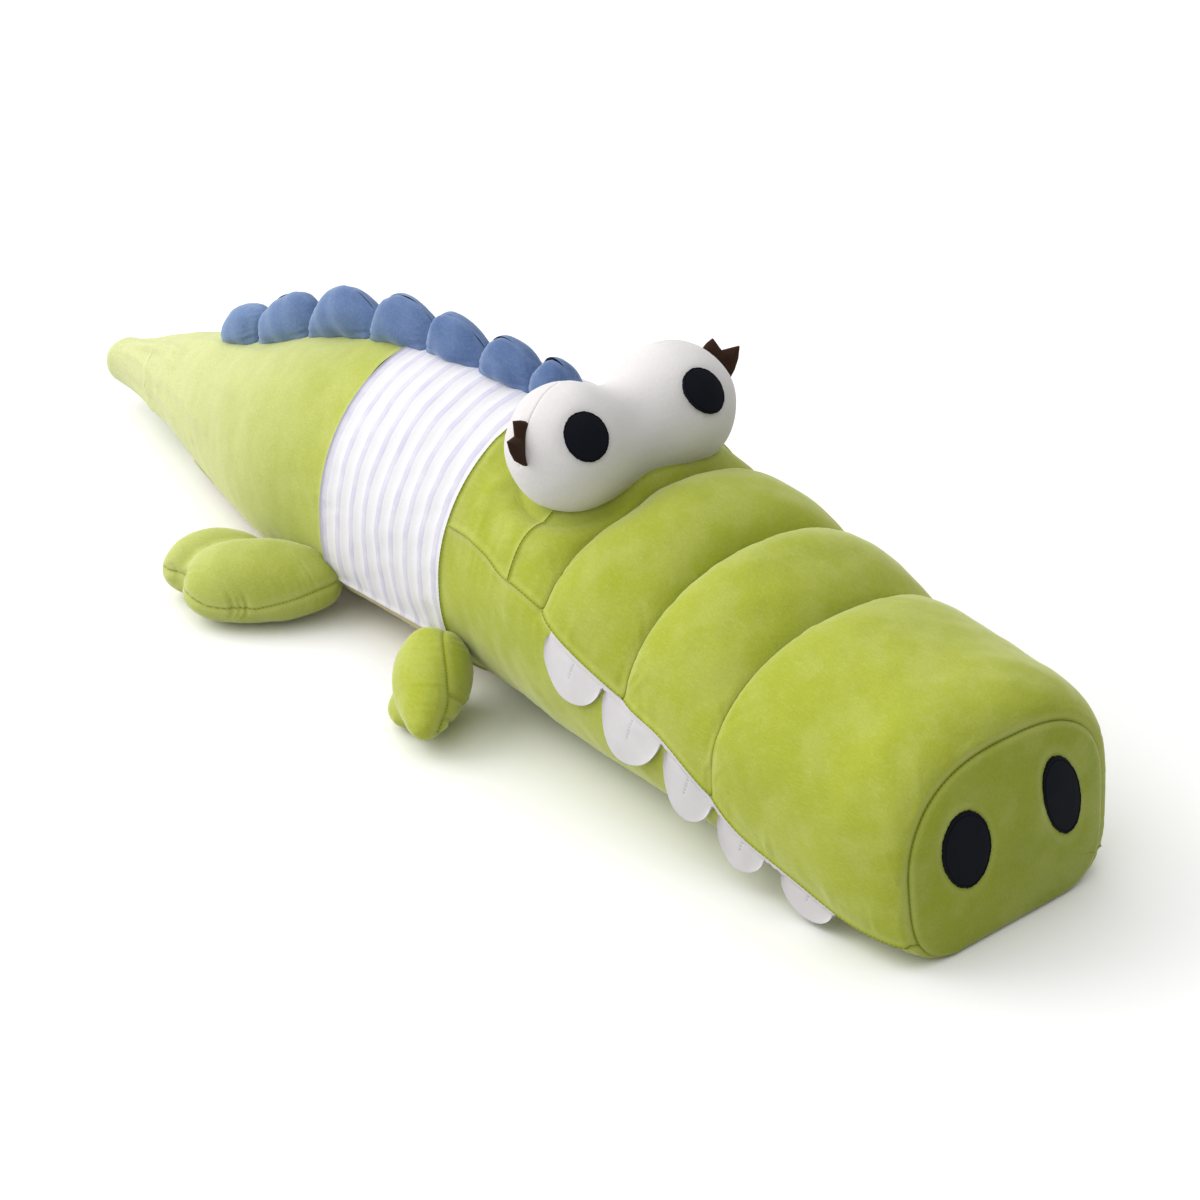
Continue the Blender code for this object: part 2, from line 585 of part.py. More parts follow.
def leg(end, side, name):
    """Two panels and their filling: a round root on the pivot, a main lobe and a small toe."""
    d = LEGS[end]
    pivot = (seat_x(d["y"]), d["y"])
    turn = radians(d["turn"])
    out, along = np.array([cos(turn), sin(turn)]), np.array([-sin(turn), cos(turn)])
    forms = (
        (np.array(pivot), (ROOT_ROUND, ROOT_ROUND), ROOT_HIGH, 0.0),
        (pivot + out * d["reach"], (d["long"], d["wide"]), d["high"], turn),
        (pivot + out * d["toe_reach"] + along * d["toe_aside"], (d["toe_long"], d["toe_wide"]),
         d["toe_high"], turn),
    )

    def lobes(kind, inset, group):
        made = []
        for number, (spot, flat, high, way) in enumerate(forms):
            sizes = [flat[0] - inset, flat[1] - inset, high / 2 - inset]
            place = (side * spot[0], spot[1], high / 2)
            first = number == 0 and group is toy
            label = f"leg_{name}_{kind}" + ("" if first else f"_lobe_{number}")
            made.append(lobe(label, place, sizes, side * way, "green" if kind != "filling" else "filling",
                             group if first else cutters, (side * pivot[0], pivot[1], 0.0),
                             10 if number else 20))
        return made

    hollow = lobes("hollow", VELVET, cutters)
    for kind, below in (("top", True), ("sole", False)):
        base, *others = lobes(kind, 0.0, toy)
        cut(base, others, "UNION")
        cut(base, [*hollow, half_space(f"leg_{name}_{kind}_cut", pivot, side, d, below)])
    base, *others = lobes("filling", VELVET + GAP, toy)
    cut(base, others, "UNION")


def half_space(name, pivot, side, d, below):
    """A block that takes away the other panel's half, up to the leg's edge seam."""
    level, half_gap = d["high"] * 0.42, GAP / 2
    reach = 3 * d["long"]
    low, high = (-d["high"], level + half_gap) if below else (level - half_gap, 2 * d["high"])
    x, y = side * pivot[0], pivot[1]
    corners = [(x + i * reach, y + j * reach, z) for z in (low, high) for j in (-1, 1) for i in (-1, 1)]
    a = np.array(corners).reshape(2, 2, 2, 3)
    sides = [a[0], a[1], a[:, 0], a[:, 1], a[:, :, 0], a[:, :, 1]]
    return solid(name, sides, "filling", cutters)


toy, cutters = cleared()
KNOTS = knots()
body_covers()
fillings()
nostrils()
teeth()
eyes()
back_row()
for side, hand in ((1, "left"), (-1, "right")):
    for end in LEGS:
        leg(end, side, f"{end}_{hand}")
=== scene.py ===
"""The look of a stuffed plush crocodile: velvet covers with sewn seams, a ribbed shirt, felt teeth,
nostrils, pupils and lashes, a row of back humps and four soft legs, on a pale floor in soft studio light.

Metres, +Z up, nose towards -Y. A place along the body is a share of its length from the nose.
"""

from math import cos, pi, radians, sin

import bmesh
import bpy
import numpy as np
from mathutils import Matrix, Vector


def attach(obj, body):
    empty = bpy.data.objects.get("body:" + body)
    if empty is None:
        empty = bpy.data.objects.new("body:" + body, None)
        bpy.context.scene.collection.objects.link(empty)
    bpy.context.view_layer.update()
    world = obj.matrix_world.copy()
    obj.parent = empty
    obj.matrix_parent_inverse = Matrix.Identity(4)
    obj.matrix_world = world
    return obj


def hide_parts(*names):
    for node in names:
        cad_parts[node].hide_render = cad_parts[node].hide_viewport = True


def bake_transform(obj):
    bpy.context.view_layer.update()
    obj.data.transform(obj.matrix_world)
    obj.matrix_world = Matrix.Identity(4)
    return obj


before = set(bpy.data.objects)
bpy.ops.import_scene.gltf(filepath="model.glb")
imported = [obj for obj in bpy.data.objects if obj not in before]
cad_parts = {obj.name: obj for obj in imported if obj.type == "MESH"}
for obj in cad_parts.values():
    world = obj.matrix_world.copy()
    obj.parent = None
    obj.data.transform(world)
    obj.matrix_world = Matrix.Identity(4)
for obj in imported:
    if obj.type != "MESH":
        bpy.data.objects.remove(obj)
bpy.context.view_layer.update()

# Sizes of the crocodile
LENGTH, BODY_WIDTH, BACK_HEIGHT = 1.10, 0.26, 0.235

# Along the body: share of the length, half width, top, bottom, widest level, squareness above and below
BODY_SHARES = np.array([
    (0.000, 0.908, 0.778, -0.014, 0.27, 2.65, 3.80),
    (0.011, 0.908, 0.778, -0.014, 0.27, 2.65, 3.80),
    (0.100, 0.950, 0.785, -0.017, 0.35, 2.25, 2.80),
    (0.177, 0.973, 0.822, -0.017, 0.39, 2.15, 2.50),
    (0.264, 0.988, 0.911, -0.017, 0.43, 2.15, 2.40),
    (0.310, 0.990, 0.925, -0.017, 0.45, 2.18, 2.35),
    (0.354, 0.988, 0.948, -0.017, 0.46, 2.20, 2.30),
    (0.410, 0.940, 0.958, -0.017, 0.47, 2.15, 2.25),
    (0.469, 0.898, 0.970, -0.017, 0.47, 2.00, 2.30),
    (0.550, 0.850, 0.951, -0.017, 0.44, 2.00, 2.55),
    (0.620, 0.800, 0.903, -0.017, 0.40, 2.00, 2.80),
    (0.712, 0.772, 0.776, -0.017, 0.32, 2.10, 2.70),
    (0.802, 0.563, 0.587, 0.001, 0.26, 2.20, 2.50),
    (0.897, 0.323, 0.431, 0.062, 0.22, 2.20, 2.40),
    (0.985, 0.144, 0.264, 0.090, 0.18, 2.10, 2.20),
    (1.000, 0.148, 0.248, 0.095, 0.18, 2.10, 2.20),
])
NOSE_DOME, NOSE_LEAN = 0.012, 0.009
NOSE = (NOSE_DOME + 0.0016) / LENGTH
ROLLS = (0.177, 0.264, 0.354)
FACE = 0.391
SHIRT = (0.469, 0.620)
TAIL = 0.847
TIP_ROUND, TIP_SEAM, TIP_ASIDE = 0.015, 0.923, 0.0045
PULLS = (
    (NOSE, 0.115, 0.150, 0.010, 0.050),
    (ROLLS[0], 0.085, 0.030, 0.045, 0.0435),
    (ROLLS[1], 0.125, 0.035, 0.0435, 0.045),
    (ROLLS[2], 0.130, 0.030, 0.045, 0.045),
)
MOUTH = np.array([
    (0.000, 0.085), (0.036, 0.092), (0.070, 0.108), (0.112, 0.160), (0.156, 0.226), (0.181, 0.307),
    (0.200, 0.362), (0.222, 0.417), (0.255, 0.453), (0.284, 0.495), (0.312, 0.530), (0.342, 0.572),
    (0.362, 0.608), (0.382, 0.625), (0.400, 0.628), (0.420, 0.652), (0.440, 0.664), (0.469, 0.660),
])
BELLY = np.array([
    (0.469, 0.200), (0.515, 0.191), (0.561, 0.174), (0.604, 0.156), (0.640, 0.134), (0.712, 0.060),
    (0.802, 0.062), (0.897, 0.12), (1.0, 0.15),
])

# Eye pod: two round lobes and a waist between them
POD_LOBE, POD_ROUND, POD_WAIST, POD_SAG, POD_Y, POD_Z = 0.051, 0.050, 0.0415, 0.0085, -0.1115, 0.2356
POD_HALF = POD_LOBE + POD_ROUND

# Cloth that touches the floor lies this far above it
FLOOR_GAP = 0.0002


# Numbers and grids

def smooth(at, table, column=1):
    """A table's column at the shares, on a cubic with central differences for its slopes."""
    x, y = table[:, 0], table[:, column]
    slope = np.gradient(y, x)
    at = np.clip(at, x[0], x[-1])
    i = np.clip(np.searchsorted(x, at, side="right") - 1, 0, len(x) - 2)
    step = x[i + 1] - x[i]
    t = (at - x[i]) / step
    ends = (1 + 2 * t) * (1 - t) ** 2 * y[i] + t * t * (3 - 2 * t) * y[i + 1]
    return ends + step * (t * (1 - t) ** 2 * slope[i] + t * t * (t - 1) * slope[i + 1])


def unit(v):
    """Directions of length 1: each divided by its own length."""
    return v / np.maximum(np.linalg.norm(v, axis=-1, keepdims=True), 1e-9)


def ease(value):
    """0 to 1 with level ends."""
    t = np.clip(value, 0, 1)
    return t * t * (3 - 2 * t)


def body_form(share, pulls=1.0, soft=0.0):
    """Half width, top, bottom, widest level, and squareness above and below.
    The pulls of the roll seams can be weakened, and softened so that felt bridges them."""
    half, top, base, level, up, low = (smooth(share, BODY_SHARES, k) for k in range(1, 7))
    for place, down, aside, ahead, behind in PULLS:
        away = np.where(share < place, (place - share) / ahead, (share - place) / behind)
        held, blunt = (1.0, 0.0) if place == NOSE else (pulls, soft)
        away = np.clip(np.sqrt(away ** 2 + blunt ** 2), 0, 1)
        pull = held * (1 - np.sqrt(1 - (1 - away) ** 2))
        top = top - down * pull
        half = half - aside * pull
    start = 1 - TIP_ROUND / LENGTH
    fade = np.sqrt(1 - np.clip((share - start) / (1 - start), 0, 1) ** 2)
    half, top, base = half * fade, level + (top - level) * fade, level + (base - level) * fade
    return half * BODY_WIDTH / 2, top * BACK_HEIGHT, base * BACK_HEIGHT, level * BACK_HEIGHT, up, low


def nose_lean(x, height):
    """How far the nose's lower edge stands ahead of its upper part, most at the corner on its right."""
    return NOSE_LEAN * (1 - 0.5 * np.clip(x / 0.10, -1, 1)) * np.clip(1 - height / 0.09, 0, 1) ** 1.5


def body(share, angle, pulls=1.0):
    """Points of the body: a superellipse whose widest line lies at its own level, flat on the floor."""
    half, top, base, level, up, low = body_form(share, pulls)
    over = np.sin(angle) > 0
    power = 2 / np.where(over, up, low)
    x = half * np.sign(np.cos(angle)) * np.abs(np.cos(angle)) ** power
    rise = np.where(over, top - level, level - base)
    z = level + rise * np.sign(np.sin(angle)) * np.abs(np.sin(angle)) ** power
    z = np.maximum(z, 0)
    y = (share - 0.5) * LENGTH - nose_lean(x, z) * np.clip(1 - (share - NOSE) / 0.06, 0, 1) ** 2
    x = x - TIP_ASIDE * ease((share - 0.88) / 0.12)
    return np.stack([x, y, z], axis=-1)


def outward(share, angle, pulls=1.0):
    """The body's outward direction, the same for both panels at a seam."""
    ahead, behind = np.clip(share - 0.0030, NOSE, 1), np.clip(share + 0.0030, 0, 1)
    along = body(behind, angle, pulls) - body(ahead, angle, pulls)
    across = body(share, angle + 0.02, pulls) - body(share, angle - 0.02, pulls)
    n = unit(np.cross(across, along))
    ring = np.stack([across[..., 2], 0 * across[..., 2], -across[..., 0]], axis=-1)
    ring = unit(ring) - np.array([0, 1.0, 0])
    near = np.clip(1 - (share - NOSE) * LENGTH / 0.010, 0, 1)[..., None] ** 2 + 0 * n
    return unit(n * (1 - near) + ring * near * np.sqrt(0.5))


def angle_at(share, height):
    """The superellipse's angle at a height: the arc sine of its rise to half its squareness."""
    _, top, base, level, up, low = body_form(share)
    above = np.clip((height - level) / np.maximum(top - level, 1e-6), 0, 1) ** (up / 2)
    below = np.clip((level - height) / np.maximum(level - base, 1e-6), 0, 1) ** (low / 2)
    return np.where(height > level, np.arcsin(above), -np.arcsin(below))


def seam_height(share, table):
    """Height of the mouth's or the belly's seam: the table's share of the back's height."""
    return smooth(share, table) * BACK_HEIGHT


def side_width(share, height, pulls=1.0, soft=0.0):
    """How far out the side lies at a height: (1 - rise ** power) ** (1 / power) of the half width."""
    half, top, base, level, up, low = body_form(share, pulls, soft)
    above = (1 - np.clip((height - level) / (top - level), 0, 1) ** up) ** (1 / up)
    below = (1 - np.clip((level - height) / (level - base), 0, 1) ** low) ** (1 / low)
    return half * np.where(height > level, above, below)


def back_height(share, x):
    """How high the back lies at a place across it, by the same rule the other way round."""
    half, top, _, level, up, _ = body_form(share)
    return level + (top - level) * (1 - np.clip(np.abs(x) / half, 0, 1) ** up) ** (1 / up)


def skin_angle(share, t, table):
    """The angle at a part of the way round: 0 to 1 over the back between the seams, 1 to 2 below."""
    seam = angle_at(share, seam_height(share, table))
    return np.where(t <= 1, seam + (pi - 2 * seam) * t, pi - seam + (pi + 2 * seam) * (t - 1))


def spread(first, last, count, crowd=0.6):
    """Numbers from first to last, closer together at both ends."""
    t = np.linspace(0, 1, count)
    return first + (last - first) * ((1 - crowd) * t + crowd * (1 - np.cos(pi * t)) / 2)


def normals(p, wrap=False):
    """Outward normals of a grid whose rows run tailwards and columns from +X over the top to -X."""
    along = np.gradient(p, axis=0)
    if wrap:
        ring = np.concatenate([p[:, -2:-1], p, p[:, 1:2]], axis=1)
        across = (ring[:, 2:] - ring[:, :-2]) / 2
    else:
        across = np.gradient(p, axis=1)
    return unit(np.cross(across, along))


def run(p, axis):
    """Length run along a grid from its first row or column."""
    step = np.linalg.norm(np.diff(p, axis=axis), axis=-1)
    start = np.zeros_like(step.take([0], axis=axis))
    return np.concatenate([start, np.cumsum(step, axis=axis)], axis=axis)


def tuck(away, reach, depth):
    """How deep sewn cloth dips at a distance from its seam."""
    return depth * (1 - np.sqrt(1 - (1 - np.clip(away / reach, 0, 1)) ** 2))


def lumps(p, size, seed, count=9):
    """Soft uneven filling: a sum of slow waves through space, about -1 to 1."""
    draw = np.random.default_rng(seed)
    way = draw.normal(size=(count, 3))
    way /= np.linalg.norm(way, axis=1)[:, None]
    way *= 2 * pi / (size * draw.uniform(0.7, 1.5, (count, 1)))
    phase = draw.uniform(0, 2 * pi, count)
    return np.sin(p @ way.T + phase).sum(axis=-1) / np.sqrt(count) * 0.8


def puckers(along, away, seed, length=0.012, pitch=0.011):
    """Small folds that start at a seam and fade out with distance from it, in uneven groups."""
    draw = np.random.default_rng(seed)
    wave = 0
    for scale in (0.7, 1.0, 1.45, 2.1):
        wave = wave + np.sin(2 * pi * along / (pitch * scale) + draw.uniform(0, 2 * pi))
    group = 0.5 + 0.5 * np.sin(2 * pi * along / (pitch * 7.3) + draw.uniform(0, 2 * pi))
    group = group * (0.6 + 0.4 * np.sin(2 * pi * along / (pitch * 3.1) + draw.uniform(0, 2 * pi)))
    near = away / length
    return wave / 4 * (0.35 + group) * near * np.exp(1 - near ** 1.2) * (near < 6)


def folds(p, lines):
    """Single folds: how deep the cloth dips beside lines given by their corners, depth and width."""
    dip = np.zeros(p.shape[:-1])
    for corners, depth, width in lines:
        best = np.full(p.shape[:-1], 1.0)
        for a, b in zip(corners, corners[1:]):
            t = np.clip((p - a) @ (b - a) / ((b - a) @ (b - a)), 0, 1)
            best = np.minimum(best, np.linalg.norm(p - a - t[..., None] * (b - a), axis=-1))
        dip = dip + depth * np.exp(-(best / width) ** 2)
    return dip


def read(grid, i, j):
    """A grid of values read between its rows and columns."""
    i, j = np.broadcast_arrays(i, j)
    a = np.clip(i.astype(int), 0, grid.shape[0] - 2)
    b = np.clip(j.astype(int), 0, grid.shape[1] - 2)
    fa, fb = (i - a)[..., None], (j - b)[..., None]
    low = grid[a, b] * (1 - fb) + grid[a, b + 1] * fb
    high = grid[a + 1, b] * (1 - fb) + grid[a + 1, b + 1] * fb
    return low * (1 - fa) + high * fa


# Meshes

def placed(name, data):
    """A new object in the scene."""
    thing = bpy.data.objects.new(name, data)
    bpy.context.scene.collection.objects.link(thing)
    return thing


def vectors(mesh, kind):
    """A mesh's points, kind "co", or its normals, kind "normal"."""
    result = np.empty(len(mesh.vertices) * 3)
    mesh.vertices.foreach_get(kind, result)
    return result.reshape(-1, 3)


def keep(mesh, name, values):
    """Keep one value at each point of a mesh under a name that materials can read."""
    store = mesh.attributes.new(name, "FLOAT", "POINT")
    store.data.foreach_set("value", values.astype(np.float32))


def mesh_of(name, grids, uvs=None, **values):
    """One smooth mesh from grids of points, welded where they meet, with UVs in metres and values at
    its points."""
    points = np.concatenate([g.reshape(-1, 3) for g in grids])
    faces, start = [], 0
    for g in grids:
        r, c = g.shape[:2]
        i = start + np.arange(r * c).reshape(r, c)
        faces.append(np.stack([i[:-1, :-1], i[1:, :-1], i[1:, 1:], i[:-1, 1:]], axis=-1).reshape(-1, 4))
        start += r * c
    faces = np.concatenate(faces)
    mesh = bpy.data.meshes.new(name)
    mesh.vertices.add(len(points))
    mesh.vertices.foreach_set("co", points.astype(np.float32).ravel())
    mesh.loops.add(faces.size)
    mesh.loops.foreach_set("vertex_index", faces.ravel().astype(np.int32))
    mesh.polygons.add(len(faces))
    mesh.polygons.foreach_set("loop_start", np.arange(0, faces.size, 4, dtype=np.int32))
    mesh.update(calc_edges=True)
    flat = np.concatenate([u.reshape(-1, 2) for u in uvs]) if uvs else np.zeros((len(points), 2))
    layer = mesh.uv_layers.new(name="cloth")
    layer.data.foreach_set("uv", flat[faces.ravel()].astype(np.float32).ravel())
    for key, parts in values.items():
        keep(mesh, key, np.concatenate([v.ravel() for v in parts]))
    shell = bmesh.new()
    shell.from_mesh(mesh)
    bmesh.ops.remove_doubles(shell, verts=shell.verts, dist=2e-5)
    bmesh.ops.dissolve_degenerate(shell, edges=shell.edges, dist=1e-6)
    shell.to_mesh(mesh)
    shell.free()
    mesh.shade_smooth()
    return mesh


def turned_out(mesh):
    """Turn a closed shell's faces outwards."""
    shell = bmesh.new()
    shell.from_mesh(mesh)
    bmesh.ops.recalc_face_normals(shell, faces=shell.faces)
    shell.to_mesh(mesh)
    shell.free()


def piece(name, mesh, material, rides, replaces=()):
    """One visible piece, which rides one body, or keeps its place in the world when given more than one."""
    thing = placed(name, mesh)
    mesh.materials.clear()
    mesh.materials.append(material)
    if isinstance(rides, str):
        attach(thing, rides)
    else:
        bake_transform(thing)
    if replaces:
        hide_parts(*replaces)
    return thing


def stuffed(p, pins, pressure, cap, wrap=True):
    """Cloth stuffed from inside: the grid swells under pressure, held at its pins, by no more than the cap.
    The result is how far each point moves."""
    rows, cols = p.shape[:2]
    count = cols - 1 if wrap else cols
    i = np.arange(rows * count).reshape(rows, count)
    near = i if wrap else i[:, :-1]
    far = np.roll(i, -1, axis=1) if wrap else i[:, 1:]
    faces = np.stack([near[:-1], near[1:], far[1:], far[:-1]], axis=-1).reshape(-1, 4)
    start = p[:, :count].reshape(-1, 3)
    moved = cloth(start, faces.tolist(), pins[:, :count].ravel(), pressure) - start
    size = np.linalg.norm(moved, axis=1, keepdims=True)
    moved *= np.minimum(1, cap / np.maximum(size, 1e-9))
    moved = moved.reshape(rows, count, 3)
    return np.concatenate([moved, moved[:, :1]], axis=1) if wrap else moved


def cloth(points, faces, pins, pressure):
    """Twenty frames of cloth under pressure with no gravity; gives the points where they end."""
    mesh = bpy.data.meshes.new("cloth")
    mesh.from_pydata(points.tolist(), [], faces)
    thing = placed("cloth", mesh)
    group = thing.vertex_groups.new(name="sewn")
    for weight in np.unique(pins[pins > 0]):
        group.add(np.flatnonzero(pins == weight).tolist(), float(weight), "REPLACE")
    soft = thing.modifiers.new("Cloth", "CLOTH")
    soft.settings.quality = 5
    soft.settings.mass = 0.2
    soft.settings.tension_stiffness = 12
    soft.settings.compression_stiffness = 12
    soft.settings.bending_stiffness = 0.8
    soft.settings.use_pressure = True
    soft.settings.uniform_pressure_force = pressure
    soft.settings.vertex_group_mass = "sewn"
    soft.settings.effector_weights.gravity = 0
    soft.collision_settings.use_collision = False
    soft.point_cache.frame_start, soft.point_cache.frame_end = 1, 20
    scene = bpy.context.scene
    for step in range(1, 21):
        scene.frame_set(step)
    shape = thing.evaluated_get(bpy.context.evaluated_depsgraph_get())
    result = vectors(shape.data, "co")
    bpy.data.objects.remove(thing)
    scene.frame_set(1)
    return result


# Materials

def nodes_of(name):
    """A new material, its node tree and its main shader."""
    material = bpy.data.materials.new(name)
    material.use_nodes = True
    tree = material.node_tree
    return material, tree, tree.nodes["Principled BSDF"]


def link(tree, source, target):
    """Join an output to an input."""
    tree.links.new(source, target)


def node(tree, kind, **sets):
    """A new node with its own settings."""
    made = tree.nodes.new(kind)
    for key, value in sets.items():
        setattr(made, key, value)
    return made


def noise(tree, where, scale, detail=2.0, rough=0.5, warp=0.0):
    """Cloudy noise between 0 and 1; the scale is in clouds per metre."""
    made = node(tree, "ShaderNodeTexNoise")
    made.inputs["Scale"].default_value = scale
    made.inputs["Detail"].default_value = detail
    made.inputs["Roughness"].default_value = rough
    made.inputs["Distortion"].default_value = warp
    link(tree, where, made.inputs["Vector"])
    return made.outputs["Fac"]


def value_of(tree, name):
    """A value kept at the mesh's points."""
    return node(tree, "ShaderNodeAttribute", attribute_name=name).outputs["Fac"]


def remap(tree, value, low, high, to_low=0.0, to_high=1.0):
    """Ease a value from one range into another, held at both ends."""
    made = node(tree, "ShaderNodeMapRange", interpolation_type="SMOOTHSTEP")
    for key, number in (("From Min", low), ("From Max", high), ("To Min", to_low), ("To Max", to_high)):
        made.inputs[key].default_value = number
    link(tree, value, made.inputs["Value"])
    return made.outputs["Result"]


def blend_colour(tree, amount, first, second):
    """Mix two colours; each is a colour or the output of a node."""
    made = node(tree, "ShaderNodeMix", data_type="RGBA")
    link(tree, amount, made.inputs["Factor"])
    for key, value in (("A", first), ("B", second)):
        socket = next(s for s in made.inputs if s.name == key and s.type == "RGBA")
        if isinstance(value, tuple):
            socket.default_value = (*value, 1.0)
        else:
            link(tree, value, socket)
    return next(s for s in made.outputs if s.type == "RGBA")


def maths(tree, operation, first, second=None):
    """One sum on numbers or the outputs of nodes."""
    made = node(tree, "ShaderNodeMath", operation=operation)
    for socket, value in zip(made.inputs, (first, second)):
        if value is None:
            continue
        if isinstance(value, (int, float)):
            socket.default_value = value
        else:
            link(tree, value, socket)
    return made.outputs[0]


def times(tree, *values):
    """The product of numbers or the outputs of nodes."""
    result = values[0]
    for value in values[1:]:
        result = maths(tree, "MULTIPLY", result, value)
    return result


def bumps(tree, shader, layers):
    """A chain of bumps: height, strength and depth in metres."""
    last = None
    for height, strength, depth in layers:
        made = node(tree, "ShaderNodeBump")
        made.inputs["Strength"].default_value = strength
        made.inputs["Distance"].default_value = depth
        link(tree, height, made.inputs["Height"])
        if last:
            link(tree, last, made.inputs["Normal"])
        last = made.outputs["Normal"]
    link(tree, last, shader.inputs["Normal"])


# From one stitch to the next
STITCH = 0.0036


def sewn_marks(tree):
    """How strongly a point lies in a seam's groove, which gets painted shade, under a stitch, and in a paler
    band beside it.
    """
    away, along = value_of(tree, "away"), value_of(tree, "along")
    groove_shade = remap(tree, away, 0.0002, 0.0016, 1.0, 0.0)
    phase = maths(tree, "FRACT", maths(tree, "DIVIDE", along, STITCH))
    gap = maths(tree, "ABSOLUTE", maths(tree, "SUBTRACT", phase, 0.5))
    stitch = times(tree, remap(tree, gap, 0.26, 0.36, 1.0, 0.0), remap(tree, away, 0.0004, 0.0008, 1.0, 0.0))
    beside = times(tree, remap(tree, away, 0.0012, 0.0026), remap(tree, away, 0.0030, 0.0080, 1.0, 0.0))
    return groove_shade, stitch, beside


def brushed(tree, where):
    """Coordinates stretched along the way the pile is brushed, so that noise in them looks like hairs."""
    made = node(tree, "ShaderNodeMapping")
    made.inputs["Rotation"].default_value = (radians(20), radians(-35), radians(25))
    made.inputs["Scale"].default_value = (1.0, 0.30, 1.0)
    link(tree, where, made.inputs["Vector"])
    return made.outputs["Vector"]


def painted_tail_sheen(tree, where, most):
    """How much painted sheen pales the colour towards the tail, where the light from behind lies on the
    pile.
    """
    split = node(tree, "ShaderNodeSeparateXYZ")
    link(tree, where, split.inputs[0])
    return remap(tree, split.outputs["Y"], 0.02, 0.52, 0.0, most)


def velvet(name, colour, dark, pale, sheen=0.6, patchy=1.0, edge_sheen=0.45,
           tail_sheen_colour=(1.0, 1.0, 1.0, 0.0)):
    """Short-pile velvet: soft patches where the pile lies differently, fine nap, and painted sheen that
    pales it where seen edge on.
    The last argument is the colour of the painted sheen towards the tail and how strong it gets."""
    material, tree, shader = nodes_of(name)
    where = node(tree, "ShaderNodeTexCoord").outputs["Object"]
    patches = remap(tree, noise(tree, where, 7, 2, 0.5), 0.36, 0.64)
    marks = remap(tree, noise(tree, where, 28, 3, 0.5), 0.40, 0.66)
    grain = noise(tree, where, 650, 3, 0.7)
    hairs = noise(tree, brushed(tree, where), 520, 2, 0.6)
    base = blend_colour(tree, times(tree, patches, 0.36 * patchy), colour, dark)
    # Painted sheen: paler towards the tail, where the light from behind lies on the pile.
    base = blend_colour(tree, painted_tail_sheen(tree, where, tail_sheen_colour[3]), base, tail_sheen_colour[:3])
    base = blend_colour(tree, times(tree, marks, 0.16 * patchy), base, pale)
    base = blend_colour(tree, remap(tree, grain, 0.40, 0.72, 0.0, 0.30), base, dark)
    base = blend_colour(tree, remap(tree, hairs, 0.46, 0.70, 0.0, 0.09), base, pale)
    groove_shade, stitch, beside = sewn_marks(tree)
    # A paler band beside each seam.
    base = blend_colour(tree, times(tree, beside, 0.16), base, pale)
    # Painted shade in the seam's groove.
    base = blend_colour(tree, times(tree, groove_shade, 0.24), base, tuple(c * 0.6 for c in dark))
    base = blend_colour(tree, times(tree, stitch, 0.48), base, tuple(c * 0.35 for c in dark))
    # Painted sheen: the colour pales where the cloth is seen edge on.
    edge = node(tree, "ShaderNodeLayerWeight")
    edge.inputs["Blend"].default_value = 0.25
    base = blend_colour(tree, remap(tree, edge.outputs["Facing"], 0.30, 1.0, 0.0, edge_sheen), base, pale)
    link(tree, base, shader.inputs["Base Color"])
    shader.inputs["Roughness"].default_value = 0.92
    shader.inputs["Specular IOR Level"].default_value = 0.10
    shader.inputs["Sheen Weight"].default_value = sheen
    shader.inputs["Sheen Roughness"].default_value = 0.42
    shader.inputs["Sheen Tint"].default_value = (*(0.5 + 0.5 * c for c in pale), 1.0)
    soft = noise(tree, where, 75, 3, 0.5)
    bumps(tree, shader, ((soft, 0.30, 0.0012), (hairs, 0.35, 0.0006), (grain, 0.55, 0.0006)))
    return material


def felt(name, colour, dark, line=None):
    """Matt pressed felt with a fine tangled surface, and stitches where its mark is set."""
    material, tree, shader = nodes_of(name)
    where = node(tree, "ShaderNodeTexCoord").outputs["Object"]
    tangle = noise(tree, where, 700, 4, 0.7, 2.0)
    cloudy = remap(tree, noise(tree, where, 60, 3), 0.35, 0.7, 0.0, 0.35)
    base = blend_colour(tree, cloudy, colour, dark)
    base = blend_colour(tree, remap(tree, tangle, 0.4, 0.8, 0.0, 0.3), base, dark)
    base = blend_colour(tree, value_of(tree, "mark"), base, line or tuple(c * 0.5 for c in dark))
    link(tree, base, shader.inputs["Base Color"])
    shader.inputs["Roughness"].default_value = 0.95
    shader.inputs["Specular IOR Level"].default_value = 0.08
    shader.inputs["Sheen Weight"].default_value = 0.05
    bumps(tree, shader, ((tangle, 0.4, 0.0005),))
    return material


